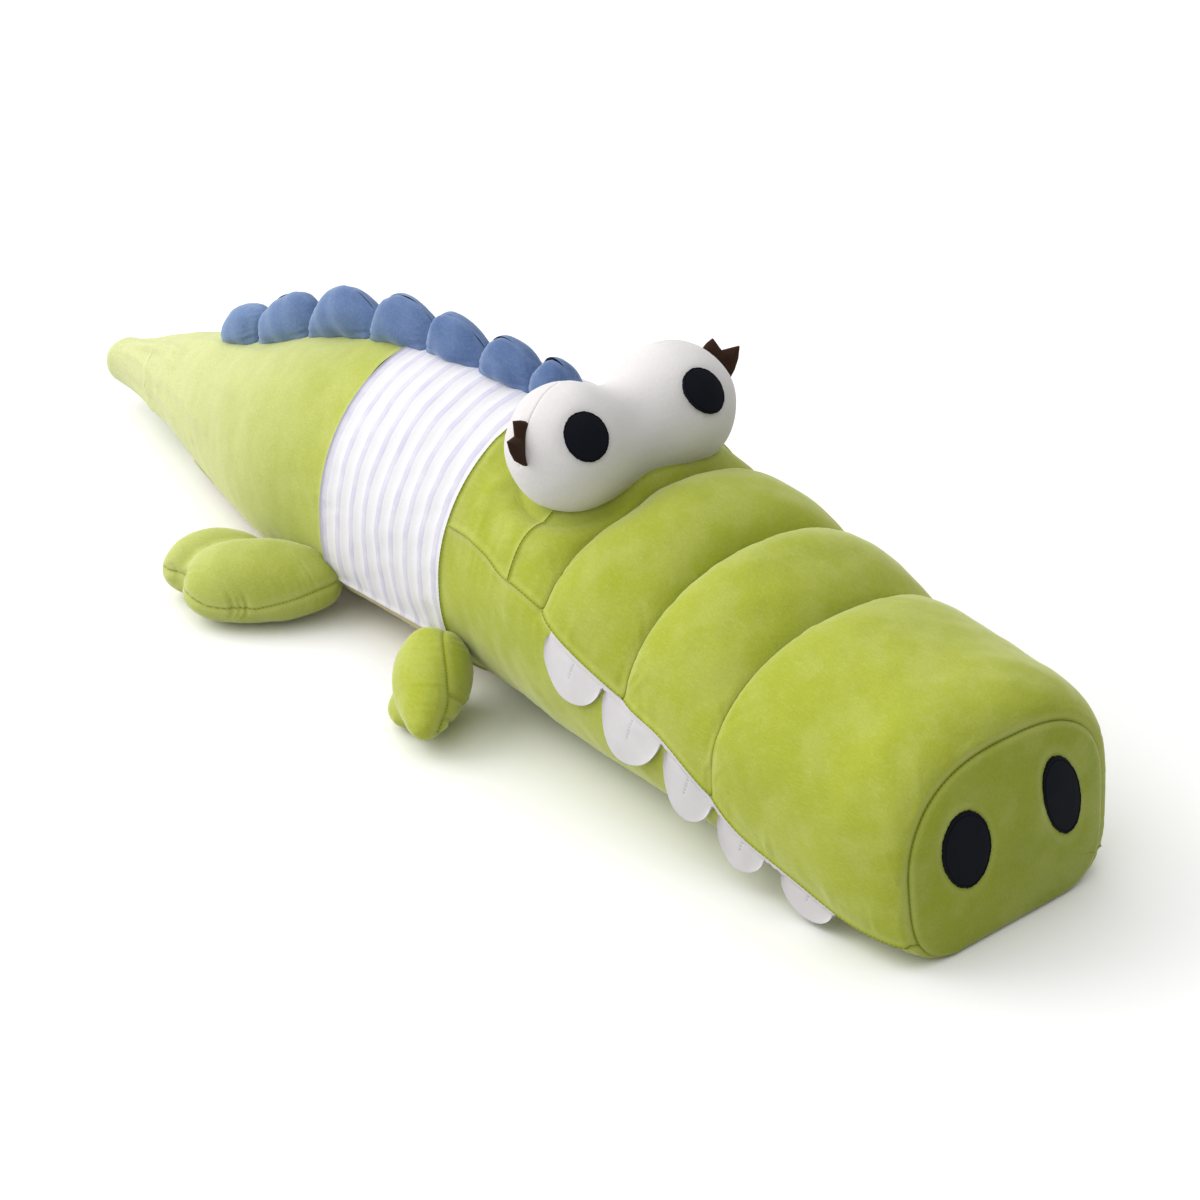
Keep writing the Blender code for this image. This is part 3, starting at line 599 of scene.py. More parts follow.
def shirt_cloth(name):
    """White ribs with lilac hollows between them: the UV's first value runs along the body."""
    material, tree, shader = nodes_of(name)
    coord = node(tree, "ShaderNodeTexCoord")
    where = coord.outputs["Object"]
    split = node(tree, "ShaderNodeSeparateXYZ")
    link(tree, coord.outputs["UV"], split.inputs[0])
    wobble = times(tree, maths(tree, "SUBTRACT", noise(tree, where, 26, 2), 0.5), 0.0030)
    along = maths(tree, "ADD", split.outputs["X"], wobble)
    phase = maths(tree, "FRACT", maths(tree, "DIVIDE", along, RIB_PITCH))
    away = maths(tree, "ABSOLUTE", maths(tree, "SUBTRACT", phase, 0.5))
    uneven = remap(tree, noise(tree, where, 55, 3, 0.6), 0.3, 0.7, 0.45, 1.0)
    band = times(tree, remap(tree, away, 0.110, 0.165, 1.0, 0.0), uneven)
    rim = times(tree, remap(tree, away, 0.085, 0.130), remap(tree, away, 0.140, 0.190, 1.0, 0.0),
                uneven, 0.55)
    base = blend_colour(tree, band, SHIRT_WHITE, SHIRT_LILAC)
    base = blend_colour(tree, rim, base, SHIRT_BLUE)
    groove_shade = sewn_marks(tree)[0]
    # Painted shade in the seam's groove at the shirt's edges.
    base = blend_colour(tree, times(tree, groove_shade, 0.35), base, (0.40, 0.40, 0.46))
    link(tree, base, shader.inputs["Base Color"])
    shader.inputs["Roughness"].default_value = 0.92
    shader.inputs["Specular IOR Level"].default_value = 0.10
    shader.inputs["Sheen Weight"].default_value = 0.20
    soft, grain = noise(tree, where, 70, 4, 0.6), noise(tree, where, 650, 3, 0.7)
    bumps(tree, shader, ((soft, 0.3, 0.001), (grain, 0.5, 0.0006)))
    return material


RIB_PITCH = (SHIRT[1] - SHIRT[0]) * LENGTH / 8.6
SHIRT_WHITE, SHIRT_LILAC, SHIRT_BLUE = (0.745, 0.735, 0.755), (0.60, 0.575, 0.70), (0.49, 0.47, 0.63)
# The green and blue velvets get painted sheen towards the tail and where they are seen edge on.
GREEN = velvet("green_velvet", (0.405, 0.455, 0.045), (0.275, 0.330, 0.024), (0.66, 0.68, 0.28),
               tail_sheen_colour=(0.81, 0.82, 0.60, 0.50))
# A darker copy of the green velvet for the nose's front: painted shade, the nose facing away from the light.
SHADED_NOSE_GREEN = velvet("green_velvet_nose_shaded", (0.345, 0.405, 0.033), (0.225, 0.280, 0.018), (0.62, 0.65, 0.25))
BLUE = velvet("blue_velvet", (0.098, 0.160, 0.320), (0.040, 0.078, 0.205), (0.27, 0.38, 0.58),
              0.5, 1.0, 0.7, (0.27, 0.38, 0.58, 0.50))
EYE_WHITE = velvet("white_velvet", (0.70, 0.680, 0.675), (0.63, 0.605, 0.60), (0.79, 0.77, 0.76),
                   0.25, 0.4, 0.2)
CREAM = velvet("cream_velvet", (0.56, 0.49, 0.25), (0.44, 0.37, 0.18), (0.70, 0.62, 0.38), 0.3)
BLACK = felt("black_felt", (0.0065, 0.0080, 0.0130), (0.003, 0.004, 0.006), (0.0015, 0.0015, 0.002))
BROWN = felt("brown_felt", (0.045, 0.022, 0.013), (0.020, 0.010, 0.007))
TOOTH = felt("tooth_felt", (0.68, 0.655, 0.665), (0.61, 0.58, 0.60), (0.36, 0.36, 0.42))
STRIPED = shirt_cloth("striped_shirt")


# The body's stuffing, as one grid round the whole body: points over the back, then on below it

OVER, UNDER = 45, 29
COARSE = np.unique(np.concatenate([
    np.linspace(a, b, max(3, int(round((b - a) * LENGTH / 0.010)) + 1))
    for a, b in zip((NOSE, *ROLLS, FACE, *SHIRT), (*ROLLS, FACE, *SHIRT, 1.0))]))
AROUND = np.concatenate([np.linspace(0, 1, OVER), np.linspace(1, 2, UNDER)[1:]])


def body_stuffing():
    """How far stuffing pushes the body's cloth out between its seams, which are pinned, as is its foot
    on the floor. The tail is pinned by a third."""
    share, t = COARSE[:, None], AROUND[None]
    angle = np.where(share < SHIRT[0], skin_angle(share, t, MOUTH), skin_angle(share, t, BELLY))
    p = body(share, angle)
    pins = np.zeros(p.shape[:2])
    for place in (NOSE, *ROLLS, *SHIRT, 1.0):
        pins[np.argmin(np.abs(COARSE - place))] = 1.0
    pins[np.argmin(np.abs(COARSE - FACE)), :OVER] = 1.0
    pins[:, [0, OVER - 1, -1]] = 1.0
    tail = COARSE > TAIL + 0.005
    pins[tail] = np.where(pins[tail] == 1, 0.3, 0)
    pins[-1] = 1.0
    pins[p[..., 2] < 0.004] = 1.0
    return stuffed(p, pins, 3.0, 0.0040)


STUFFING = body_stuffing()


def stuffing_at(share, t):
    """The stuffing's push at any share of the length and part of the way round."""
    row = np.interp(share, COARSE, np.arange(len(COARSE)))
    column = np.interp(t, AROUND, np.arange(len(AROUND)))
    return read(STUFFING, row, column)


def pod_distance(p):
    """Roughly how far a point lies outside the eye pod: its way to the pod's middle line less the radius."""
    x = np.clip(p[..., 0], -POD_LOBE, POD_LOBE)
    aside, ahead, above = p[..., 0] - x, p[..., 1] - POD_Y, p[..., 2] - pod_level(x)
    return np.sqrt(aside ** 2 + ahead ** 2 + above ** 2) - pod_size(x)


def pod_size(x):
    """The pod's radius: round lobes, and a waist between them."""
    beyond = np.clip((np.abs(x) - POD_LOBE) / POD_ROUND, 0, 1)
    inside = np.cos(pi * np.clip(np.abs(x) / POD_LOBE, 0, 1) / 2) ** 2
    return POD_ROUND * np.sqrt(1 - beyond ** 2) - (POD_ROUND - POD_WAIST) * inside


def pod_level(x):
    """Height of the pod's middle line, which sags at the waist."""
    return POD_Z - POD_SAG * np.cos(pi * np.clip(np.abs(x) / POD_LOBE, 0, 1) / 2) ** 2


# Depth and reach of the tuck, and height of the puckers, at a seam of the body, the mouth and a roll
SEWN = (0.0024, 0.0060, 0.0006)
MOUTHS = (0.0024, 0.0080, 0.0008)
ROLLED = (0.0006, 0.0030, 0.0006)


def sewn(p, n, kinds, aways, runs, seed):
    """How far the cloth lies off its plain form, and how far each point lies from a seam and along it."""
    dip, fold = np.zeros(p.shape[:2]), np.zeros(p.shape[:2])
    away, along = np.full(p.shape[:2], 1.0), np.zeros(p.shape[:2])
    for k, (kind, far, length) in enumerate(zip(kinds, aways, runs)):
        depth, reach, high = kind
        dip = np.maximum(dip, tuck(far, reach, depth))
        fold = fold + high * puckers(length, far, seed * 7 + k)
        along = np.where(far < away, length, along)
        away = np.minimum(away, far)
    edge = np.clip(away / 0.012, 0, 1)
    wave = 0.0009 * lumps(p, 0.075, seed) + 0.0003 * lumps(p, 0.024, seed + 50)
    return wave * edge - dip + fold, away, along


# How deep the cloth under the eye pod's near side is pressed, and how far out from the pod that reaches
HUG_DEPTH, HUG_REACH = 0.015, 0.040


def panel(first, last, t_first, t_last, rows, cols, table, kinds, seed, under=False, lines=()):
    """A panel of the body's cover: its grid, its UVs, and each point's distance from and along a seam.
    The kinds are the seams at the nose side, tail side, first and last column."""
    share = spread(first, last, rows)[:, None]
    t = spread(t_first, t_last, cols)[None] + 0 * share
    angle = skin_angle(share, t, table)
    pulls = ease(1 - np.minimum(t - 1, 2 - t) * 0.28 / 0.018) if under else 1.0
    p = body(share, angle, pulls) + stuffing_at(share, t)
    n = outward(share + 0 * t, angle, pulls)
    along, across = run(p, 0), run(p, 1)
    aways = (along, along[-1:] - along, across, across[:, -1:] - across)
    lift, away, length = sewn(p, n, kinds, aways, (across, across, along, along), seed)
    near_side = ease((-p[..., 0] - 0.005) / 0.040)
    hug = (1 - np.clip(pod_distance(p) / HUG_REACH, 0, 1)) ** 2 * HUG_DEPTH * near_side
    p = p + n * (lift - folds(p, lines))[..., None]
    p[..., 2] -= hug
    p[..., 2] = np.maximum(p[..., 2], FLOOR_GAP)
    # Along the eye pod's foot the velvet gets the groove's painted shade too.
    away = np.minimum(away, np.maximum(pod_distance(p), 0.0009))
    return p, np.stack([along, across], axis=-1), away, length


# Wrinkles: the corners of each line on the body's near side, how deep it is and how wide
FOLDS = tuple((np.array(corners), depth, wide) for corners, depth, wide in (
    (((-0.0700, -0.0660, 0.2120), (-0.0850, -0.0619, 0.1968), (-0.0939, -0.0612, 0.1866),
      (-0.1044, -0.0679, 0.1723), (-0.1120, -0.0730, 0.1580)), 0.0014, 0.0075),
    (((-0.0914, -0.1004, 0.1978), (-0.1011, -0.1031, 0.1861), (-0.1123, -0.1024, 0.1654)), 0.0010, 0.0070),
    (((-0.1231, -0.2640, 0.1231), (-0.1203, -0.2687, 0.1346), (-0.1165, -0.2687, 0.1430)), 0.0011, 0.0022),
    (((-0.1244, -0.2701, 0.1216), (-0.1225, -0.2768, 0.1310), (-0.1196, -0.2802, 0.1392)), 0.0010, 0.0022),
    (((-0.1243, -0.3512, 0.0919), (-0.1219, -0.3546, 0.1065), (-0.1189, -0.3546, 0.1172)), 0.0010, 0.0024),
    (((-0.1020, -0.5360, 0.0960), (-0.1048, -0.5323, 0.0966), (-0.1092, -0.5256, 0.0986)), 0.0009, 0.0028),
    (((-0.0994, -0.5371, 0.0739), (-0.1061, -0.5334, 0.0774), (-0.1111, -0.5258, 0.0791)), 0.0010, 0.0028),
    (((-0.0588, -0.0375, 0.2124), (-0.0710, -0.0402, 0.2047)), 0.0012, 0.0040),
    (((-0.0203, 0.1389, 0.2084), (-0.0398, 0.1321, 0.2032), (-0.0581, 0.1213, 0.1943)), 0.0010, 0.0040),
    (((-0.0120, 0.4900, 0.0800), (-0.0178, 0.4505, 0.0913), (-0.0270, 0.4194, 0.0997)), 0.0019, 0.0040),
    (((-0.0161, 0.5148, 0.0601), (-0.0330, 0.4593, 0.0686), (-0.0399, 0.4418, 0.0665)), 0.0021, 0.0040),
    (((-0.0081, 0.5087, 0.0683), (-0.0240, 0.4539, 0.0854), (-0.0363, 0.4221, 0.0898)), 0.0018, 0.0036),
    (((-0.0087, 0.4343, 0.1011), (-0.0191, 0.3701, 0.1219), (-0.0312, 0.3025, 0.1465)), 0.0015, 0.0050),
    (((-0.0262, 0.4323, 0.0945), (-0.0474, 0.3600, 0.1113), (-0.0666, 0.3018, 0.1229)), 0.0016, 0.0060),
    (((-0.0385, 0.4370, 0.0757), (-0.0599, 0.3769, 0.0790), (-0.0760, 0.3302, 0.0795)), 0.0016, 0.0055),
    (((-0.0418, 0.4397, 0.0575), (-0.0549, 0.3992, 0.0560), (-0.0672, 0.3633, 0.0541)), 0.0015, 0.0045),
))


def cover(name, node_name, values, material, rides):
    """A panel's mesh as a padded piece; the jaw's panel stands for the body's filling too."""
    p, uv, away, along = values
    mesh = mesh_of(name, [p], [uv], away=[away], along=[along])
    replaced = (node_name, "body_filling") if node_name == "jaw_cover" else (node_name,)
    piece(name, mesh, material, rides, replaced)


def covers():
    """Every velvet panel of the body."""
    marks = (NOSE, *ROLLS, FACE)
    names = ("snout_roll_front", "snout_roll_middle", "snout_roll_rear", "face_cover")
    edges = ((SEWN, ROLLED), (ROLLED, ROLLED), (ROLLED, ROLLED), (ROLLED, SEWN))
    for k, (name, first, last, (head, tail)) in enumerate(zip(names, marks, marks[1:], edges)):
        rows = max(14, int((last - first) * LENGTH / 0.0026))
        made = panel(first, last, 0, 1, rows, 150, MOUTH, (head, tail, MOUTHS, MOUTHS), 11 + k, lines=FOLDS)
        cover(f"velvet_{name}", name, made, GREEN, "body")
    made = panel(FACE, SHIRT[0], 0, 1, 44, 150, MOUTH, (SEWN, SEWN, MOUTHS, MOUTHS), 21, lines=FOLDS)
    cover("velvet_crown", "crown_cover", made, GREEN, "body")
    made = panel(NOSE, SHIRT[0], 1, 2, 190, 84, MOUTH, (SEWN, SEWN, MOUTHS, MOUTHS), 31, under=True)
    cover("velvet_jaw", "jaw_cover", made, GREEN, "body")
    p, uv, away, along = panel(*SHIRT, 0, 1, 150, 150, BELLY, (SEWN, SEWN, SEWN, SEWN), 41)
    ribs = 0.0005 * np.cos(2 * pi * uv[..., 0] / RIB_PITCH) * np.clip(away / 0.01, 0, 1)
    p = p + normals(p) * ribs[..., None]
    cover("striped_shirt", "shirt", (p, uv, away, along), STRIPED, "body")
    hinge = (TAIL - 0.5) * LENGTH
    across_tail = ("body", "tail", (0, hinge - 0.03, 0.05), (0, hinge + 0.03, 0.05))
    made = panel(SHIRT[0], TAIL, 1, 2, 120, 70, BELLY, (SEWN, SEWN, SEWN, SEWN), 51)
    cover("velvet_belly", "belly_cover", made, CREAM, across_tail)
    piece("velvet_rump_and_tail", rump_and_tail(), GREEN, across_tail,
          ("rump_cover", "tail_cover", "tail_filling"))


def rump_and_tail():
    """The rump and tail as one cover: over the back from the shirt on, and all round from the tail on."""
    share = np.concatenate([spread(SHIRT[1], TAIL, 90), np.linspace(TAIL, 0.985, 46)[1:],
                            1 - (1 - 0.985) * (1 - np.sin(np.linspace(0, pi / 2, 12)[1:]))])[:, None]
    t = np.concatenate([np.linspace(0, 1, 150), np.linspace(1, 2, 80)[1:]])[None] + 0 * share
    angle = skin_angle(share, t, BELLY)
    p = body(share, angle) + stuffing_at(share, t)
    n = outward(share + 0 * t, angle)
    along, across = run(p, 0), run(p, 1)
    past = (share - TAIL) * LENGTH + 0 * t
    side = np.minimum(across, np.abs(across[:, 149:150] - across))
    side = np.where(t <= 1, np.hypot(side, np.maximum(past, 0)), past)
    side = np.where(past < 0, np.where(t <= 1, side, 1.0), side)
    ring = np.abs((share - TIP_SEAM) * LENGTH - 0.006 * np.sin(angle))
    kinds = (SEWN, SEWN, (0.0016, 0.010, 0.0006))
    lift, away, length = sewn(p, n, kinds, (along, side, ring), (across, along, across), 61)
    turn = pi * t
    creases = sum(a * np.cos(k * turn + f) for k, a, f in ((11, 0.5, 0.3), (17, 0.4, 2.1), (25, 0.25, 4.0)))
    lengthwise = np.exp(-(ring / 0.032) ** 1.4) * np.clip(ring / 0.003, 0.15, 1)
    shrink = np.clip((1 - share) * LENGTH / 0.10, 0.25, 1)
    lift = (lift * shrink + 0.0015 * creases * lengthwise) * np.clip((1 - share) / 0.006, 0, 1)
    p = p + n * (lift - folds(p, FOLDS))[..., None]
    p[..., 2] = np.maximum(p[..., 2], FLOOR_GAP)
    uv = np.stack([along, across], axis=-1)
    split = int((share[:, 0] <= TAIL + 1e-9).sum())
    two = [(g[:split, :150], g[split - 1:]) for g in (p, uv, away, length)]
    return mesh_of("rump_and_tail", two[0], two[1], away=two[2], along=two[3])


# Nose

# Each nostril: across, up, width, height and its turn in degrees
NOSTRILS = {"left": (0.0480, 0.0900, 0.037, 0.074, 20.0), "right": (-0.0480, 0.0835, 0.044, 0.0655, 12.0)}


def nose():
    """The nose's front: the seam ring drawn in to its middle, domed, and dented round the nostrils."""
    t = np.concatenate([spread(0, 1, 150), spread(1, 2, 84)[1:]])[None]
    share = np.array([[NOSE]])
    angle = skin_angle(share, t, MOUTH)
    ring = body(share, angle)
    shared = outward(share + 0 * t, angle)
    level = float(body_form(np.array(NOSE))[3])
    reach = 1 - np.linspace(0, 1, 60)[:, None] ** 1.25
    middle = np.array([0.0, (NOSE - 0.5) * LENGTH, level])
    p = middle + (ring - middle) * reach[..., None]
    dome = NOSE_DOME * (1 - reach ** 2) ** 0.62
    p[..., 1] = middle[1] - nose_lean(ring[..., 0], ring[..., 2]) * reach ** 2 - dome
    n = -normals(p, wrap=True)
    n = np.where(n[..., 1:2] > 0, -n, n)
    n[-1] = (0.0, -1.0, 0.0)
    away = run(p, 0)
    near = np.clip(1 - away / 0.008, 0, 1)[..., None] ** 2
    n = unit(n * (1 - near) + shared * near)
    length = run(ring, 1) + 0 * away
    dip = tuck(away, SEWN[1], SEWN[0])
    far = np.minimum(*(oval_away(p[..., 0], p[..., 2], v) for v in NOSTRILS.values()))
    lift = (0.0006 * lumps(p, 0.06, 71) * np.clip(away / 0.012, 0, 1)
            + 0.0005 * puckers(length, away, 72) * (reach > 0.3))
    lift = lift - dip - 0.0014 * np.exp(-(np.maximum(far, 0) / 0.005) ** 2)
    p = p + n * lift[..., None]
    p[..., 2] = np.maximum(p[..., 2], FLOOR_GAP)
    uv = np.stack([away, length], axis=-1)
    # Round the nostrils the velvet gets the groove's painted shade too.
    away = np.minimum(away, np.maximum(far, 0) + 0.0006)
    mesh = mesh_of("nose", [p[:, ::-1]], [uv[:, ::-1]], away=[away[:, ::-1]], along=[length[:, ::-1]])
    piece("velvet_nose", mesh, SHADED_NOSE_GREEN, "body", ("nose_cover",))


def oval_away(x, z, place):
    """Roughly how far a place on the nose lies outside a nostril, in metres."""
    across, up, wide, high, turn = place
    dx, dz, c, s = x - across, z - up, cos(radians(turn)), sin(radians(turn))
    q = np.sqrt(((dx * c + dz * s) / (wide / 2)) ** 2 + ((dz * c - dx * s) / (high / 2)) ** 2)
    return (q - 1) * wide / 2


def nose_front(x, z):
    """How far the nose's dome stands ahead of its seam."""
    half, top, base, level, up, low = (float(v) for v in body_form(np.array(NOSE)))
    power = np.where(z > level, up, low)
    rise = np.where(z > level, top - level, level - base)
    reach = ((np.abs(x) / half) ** power + (np.abs(z - level) / rise) ** power) ** (1 / power)
    edge = level + (z - level) / np.maximum(reach, 0.05)
    lean = nose_lean(x / np.maximum(reach, 0.05), np.maximum(edge, 0))
    return NOSE_DOME * (1 - np.clip(reach, 0, 1) ** 2) ** 0.62 + lean * reach ** 2


def felt_disc(turns, seed):
    """Across, up and height of a stitched felt oval: ragged rim, a groove where the stitches lie."""
    draw = np.random.default_rng(seed)
    turn = np.linspace(0, 2 * pi, turns + 1)[None]
    ragged = 1 + 0 * turn
    for k in (9, 17, 31, 47, 61):
        ragged = ragged + 0.0050 * np.sin(k * turn + draw.uniform(0, 2 * pi))
    r = np.concatenate([np.linspace(0, 0.84, 12), np.linspace(0.86, 1.0, 14), [1.0]])[:, None]
    high = 0.0011 + 0.0003 * (1 - r ** 2)
    high = high - 0.0006 * np.exp(-((r - 0.915) / 0.018) ** 2)
    high = np.where(r > 0.96, high - 0.0009 * np.clip((r - 0.96) / 0.04, 0, 1) ** 2, high)
    high = high + 0 * turn
    high[-1] = -0.0015
    mark = np.exp(-((r - 0.915) / 0.016) ** 2) * 0.7 + 0 * turn
    return r * ragged * np.cos(turn), r * ragged * np.sin(turn), high, mark


def nostrils():
    """Two felt ovals laid on the nose's dome."""
    for name, (across, up, wide, high, turn) in NOSTRILS.items():
        a, b, rise, mark = felt_disc(150, 81 + len(name))
        c, s = cos(radians(turn)), sin(radians(turn))
        x = across + a * wide / 2 * c - b * high / 2 * s
        z = up + a * wide / 2 * s + b * high / 2 * c
        y = (NOSE - 0.5) * LENGTH - nose_front(x, z) + 0.0012 - rise
        mesh = mesh_of("nostril", [np.stack([x, y, z], axis=-1)], mark=[mark])
        piece(f"felt_nostril_{name}", mesh, BLACK, "body", (f"nostril_{name}",))


# Eyes

def pod(x, angle):
    """The pod across the head, in round sections; the angle runs from below over the front to the top."""
    size = pod_size(x)
    y, z = POD_Y - size * np.cos(angle), pod_level(x) + size * np.sin(angle)
    return np.stack([x + 0 * angle, y, z], axis=-1)


def pod_core(p):
    """The nearest points of the pod's middle line."""
    x = np.clip(p[..., 0], -POD_LOBE, POD_LOBE)
    return np.stack([x, 0 * x + POD_Y, pod_level(x)], axis=-1)


def pod_seam(x):
    """The angle of the seam between the front and rear panels: over the lobes, behind the waist's top."""
    beyond = np.clip((np.abs(x) - POD_LOBE) / POD_ROUND, 0, 1)
    over = 17.5 * (1 - beyond) ** 0.7
    behind = 25 * ease((POD_LOBE - np.abs(x)) / (0.25 * POD_LOBE))
    return np.radians(90 + over + behind)


def pod_places(count):
    """Places across the pod from +X to -X, closer together towards its round ends."""
    outside = POD_LOBE + (POD_HALF - POD_LOBE) * np.sin(np.linspace(0, pi / 2, count))
    inside = np.linspace(0, POD_LOBE, count)[:-1]
    half = np.concatenate([inside, outside])
    return np.concatenate([-half[:0:-1], half])[::-1][:, None]


def eyes():
    """The pod's front and rear panels, stuffed, tucked at the seam between them and round the pupils."""
    places = pod_places(10)
    coarse = pod(places, np.linspace(-pi / 2, 3 * pi / 2, 49)[None])
    pins = np.zeros(coarse.shape[:2])
    pins[coarse[..., 2] < POD_Z - 0.030] = 1.0
    pins[[0, -1]] = 1.0
    swell = stuffed(coarse, pins, 2.5, 0.0022)
    x = pod_places(46)
    for name, seed in (("front", 91), ("rear", 92)):
        first, last = (-pi / 2 + 0 * x, pod_seam(x)) if name == "front" else (pod_seam(x), 1.5 * pi + 0 * x)
        angle = first + (last - first) * spread(0, 1, 120, 0.4)[None]
        p = pod(x, angle)
        i = np.interp(x[:, 0], places[::-1, 0], np.arange(len(coarse))[::-1])[:, None]
        p = p + read(swell, i, (angle + pi / 2) / (2 * pi) * 48)
        along, across = run(p, 0), run(p, 1)
        away = across[:, -1:] - across if name == "front" else across
        n = unit(p - pod_core(p))
        lift = (0.0007 * lumps(p, 0.045, seed) * np.clip(away / 0.01, 0, 1) - tuck(away, 0.004, 0.0008)
                + 0.0003 * puckers(along, away, seed))
        for side in PUPILS.values():
            far = np.linalg.norm(p - pupil_middle(side), axis=-1) - side[3] / 2
            lift = lift - 0.0009 * np.exp(-(np.maximum(far, 0) / 0.005) ** 2)
        p = p + n * lift[..., None]
        uv = np.stack([along, across], axis=-1)
        mesh = mesh_of("eye", [p[:, ::-1]], [uv[:, ::-1]], away=[away[:, ::-1] + 0.0004],
                       along=[along[:, ::-1]])
        replaced = ("eye_cover_front", "eye_filling") if name == "front" else ("eye_cover_rear",)
        piece(f"velvet_eye_{name}", mesh, EYE_WHITE, "body", replaced)


# Each pupil: place across the head, angle up the pod's front and tilt in degrees, and width
PUPILS = {"left": (0.0490, 36.0, 20.0, 0.0318), "right": (-0.0668, 37.3, 12.0, 0.0355)}
PUPIL_HIGH = 0.0410


def pupil_middle(place):
    """The middle of a pupil on the pod."""
    return pod(np.array([[place[0]]]), np.array([[radians(place[1])]]))[0, 0]


def pupils():
    """Two felt ovals that follow the pod, each slightly tilted."""
    for name, place in PUPILS.items():
        middle = pupil_middle(place)
        out = unit(middle - pod_core(middle))
        side = unit(np.cross([0, 0, 1.0], out))
        up = np.cross(out, side)
        tilt = radians(place[2])
        a, b, high, mark = felt_disc(150, 95)
        across, rise = a * place[3] / 2, b * PUPIL_HIGH / 2
        across, rise = across * cos(tilt) - rise * sin(tilt), across * sin(tilt) + rise * cos(tilt)
        p = middle + across[..., None] * side + rise[..., None] * up
        core = pod_core(p)
        p = core + unit(p - core) * (pod_size(core[..., 0]) + high + 0.0012)[..., None]
        mesh = mesh_of("pupil", [p], mark=[mark])
        piece(f"felt_pupil_{name}", mesh, BLACK, "body", (f"pupil_{name}",))


# The lash's outline from its sewn top to its sewn bottom, from the lobe's middle: outwards, back and up
LASH = np.array([
    (0.0342, 0.0044, 0.0330), (0.0420, 0.0062, 0.0362), (0.0488, 0.0071, 0.0377), (0.0525, 0.0010, 0.0285),
    (0.0590, -0.0025, 0.0298), (0.0649, -0.0053, 0.0307), (0.0630, -0.0062, 0.0215),
    (0.0590, -0.0066, 0.0130), (0.0525, -0.0077, 0.0075),
])
LASH_THICK = 0.0016
LASH_SHIFT = {"left": (0.0, 0.0, 0.0), "right": (0.0004, 0.0, -0.0030)}
LASH_PARTS = np.array([0, 0.14, 0.26, 0.42, 0.52, 0.62, 0.76, 0.90, 1.0])


def lashes():
    """Two points of dark felt that stand out of the pod's side seam."""
    part = np.linspace(0, 1, 51)
    outer = np.stack([np.interp(part, LASH_PARTS, LASH[:, k]) for k in range(3)], axis=-1)
    root = LASH[0] + (LASH[-1] - LASH[0]) * part[:, None]
    root *= (POD_ROUND - 0.0015) / np.linalg.norm(root, axis=1, keepdims=True)
    far = np.linspace(0, 1, 12)[:, None, None]
    front = root + (outer - root) * far
    front[..., 1] -= 0.0020 * np.sin(pi * far[..., 0]) * (np.linalg.norm(outer - root, axis=1) > 0.004)
    for side, name in ((1, "left"), (-1, "right")):
        root_at = np.array([POD_LOBE, POD_Y, POD_Z]) + LASH_SHIFT[name]
        p = (front + root_at) * np.array([side, 1, 1])
        thick = np.array([0, LASH_THICK, 0])
        shell = [p, (p + thick)[:, ::-1], np.stack([p[0], p[0] + thick]), np.stack([p[-1], p[-1] + thick])]
        mesh = mesh_of("lash", shell, mark=[0 * g[..., 0] for g in shell])
        turned_out(mesh)
        piece(f"felt_lash_{name}", mesh, BROWN, f"lash_{name}", (f"lash_{name}",))


# Teeth

# Each tooth: its first and last share along the mouth, and how far it hangs down. All lean tailwards by
# this much of their drop.
TEETH = ((0.0665, 0.1125, 0.0200), (0.1275, 0.1675, 0.0250), (0.1735, 0.2150, 0.0335),
         (0.2210, 0.2775, 0.0405), (0.2810, 0.3380, 0.0340))
TOOTH_LEAN = 0.28
FELT_THICK = 0.0016


def felt_side(share, top, bottom, rows, flare):
    """Felt that hangs from the mouth seam: straight down from the jaw's widest line above it."""
    down = np.linspace(0, 1, rows)[:, None]
    height = top * (1 - down) + bottom * down
    away = (seam_height(share, MOUTH) - height) / 0.018
    width = side_width(share, height, ease(1 - away), 0.22)
    start = side_width(share, seam_height(share, MOUTH), 1.0, 0.22)
    width = np.maximum.accumulate(np.maximum(width, start - 0.002), axis=0)
    width = width + 0.0008 + flare * down ** 2
    return np.stack([width, (share - 0.5) * LENGTH + 0 * height, height], axis=-1), down


def felt_sheet(outer, thick=FELT_THICK):
    """Both faces and the cut edge of a felt sheet whose normal points to +X."""
    inner = outer - np.array([thick, 0, 0])
    return [outer, inner[:, ::-1], np.stack([inner[0], outer[0]]), np.stack([outer[-1], inner[-1]]),
            np.stack([outer[:, 0], inner[:, 0]]), np.stack([inner[:, -1], outer[:, -1]])]


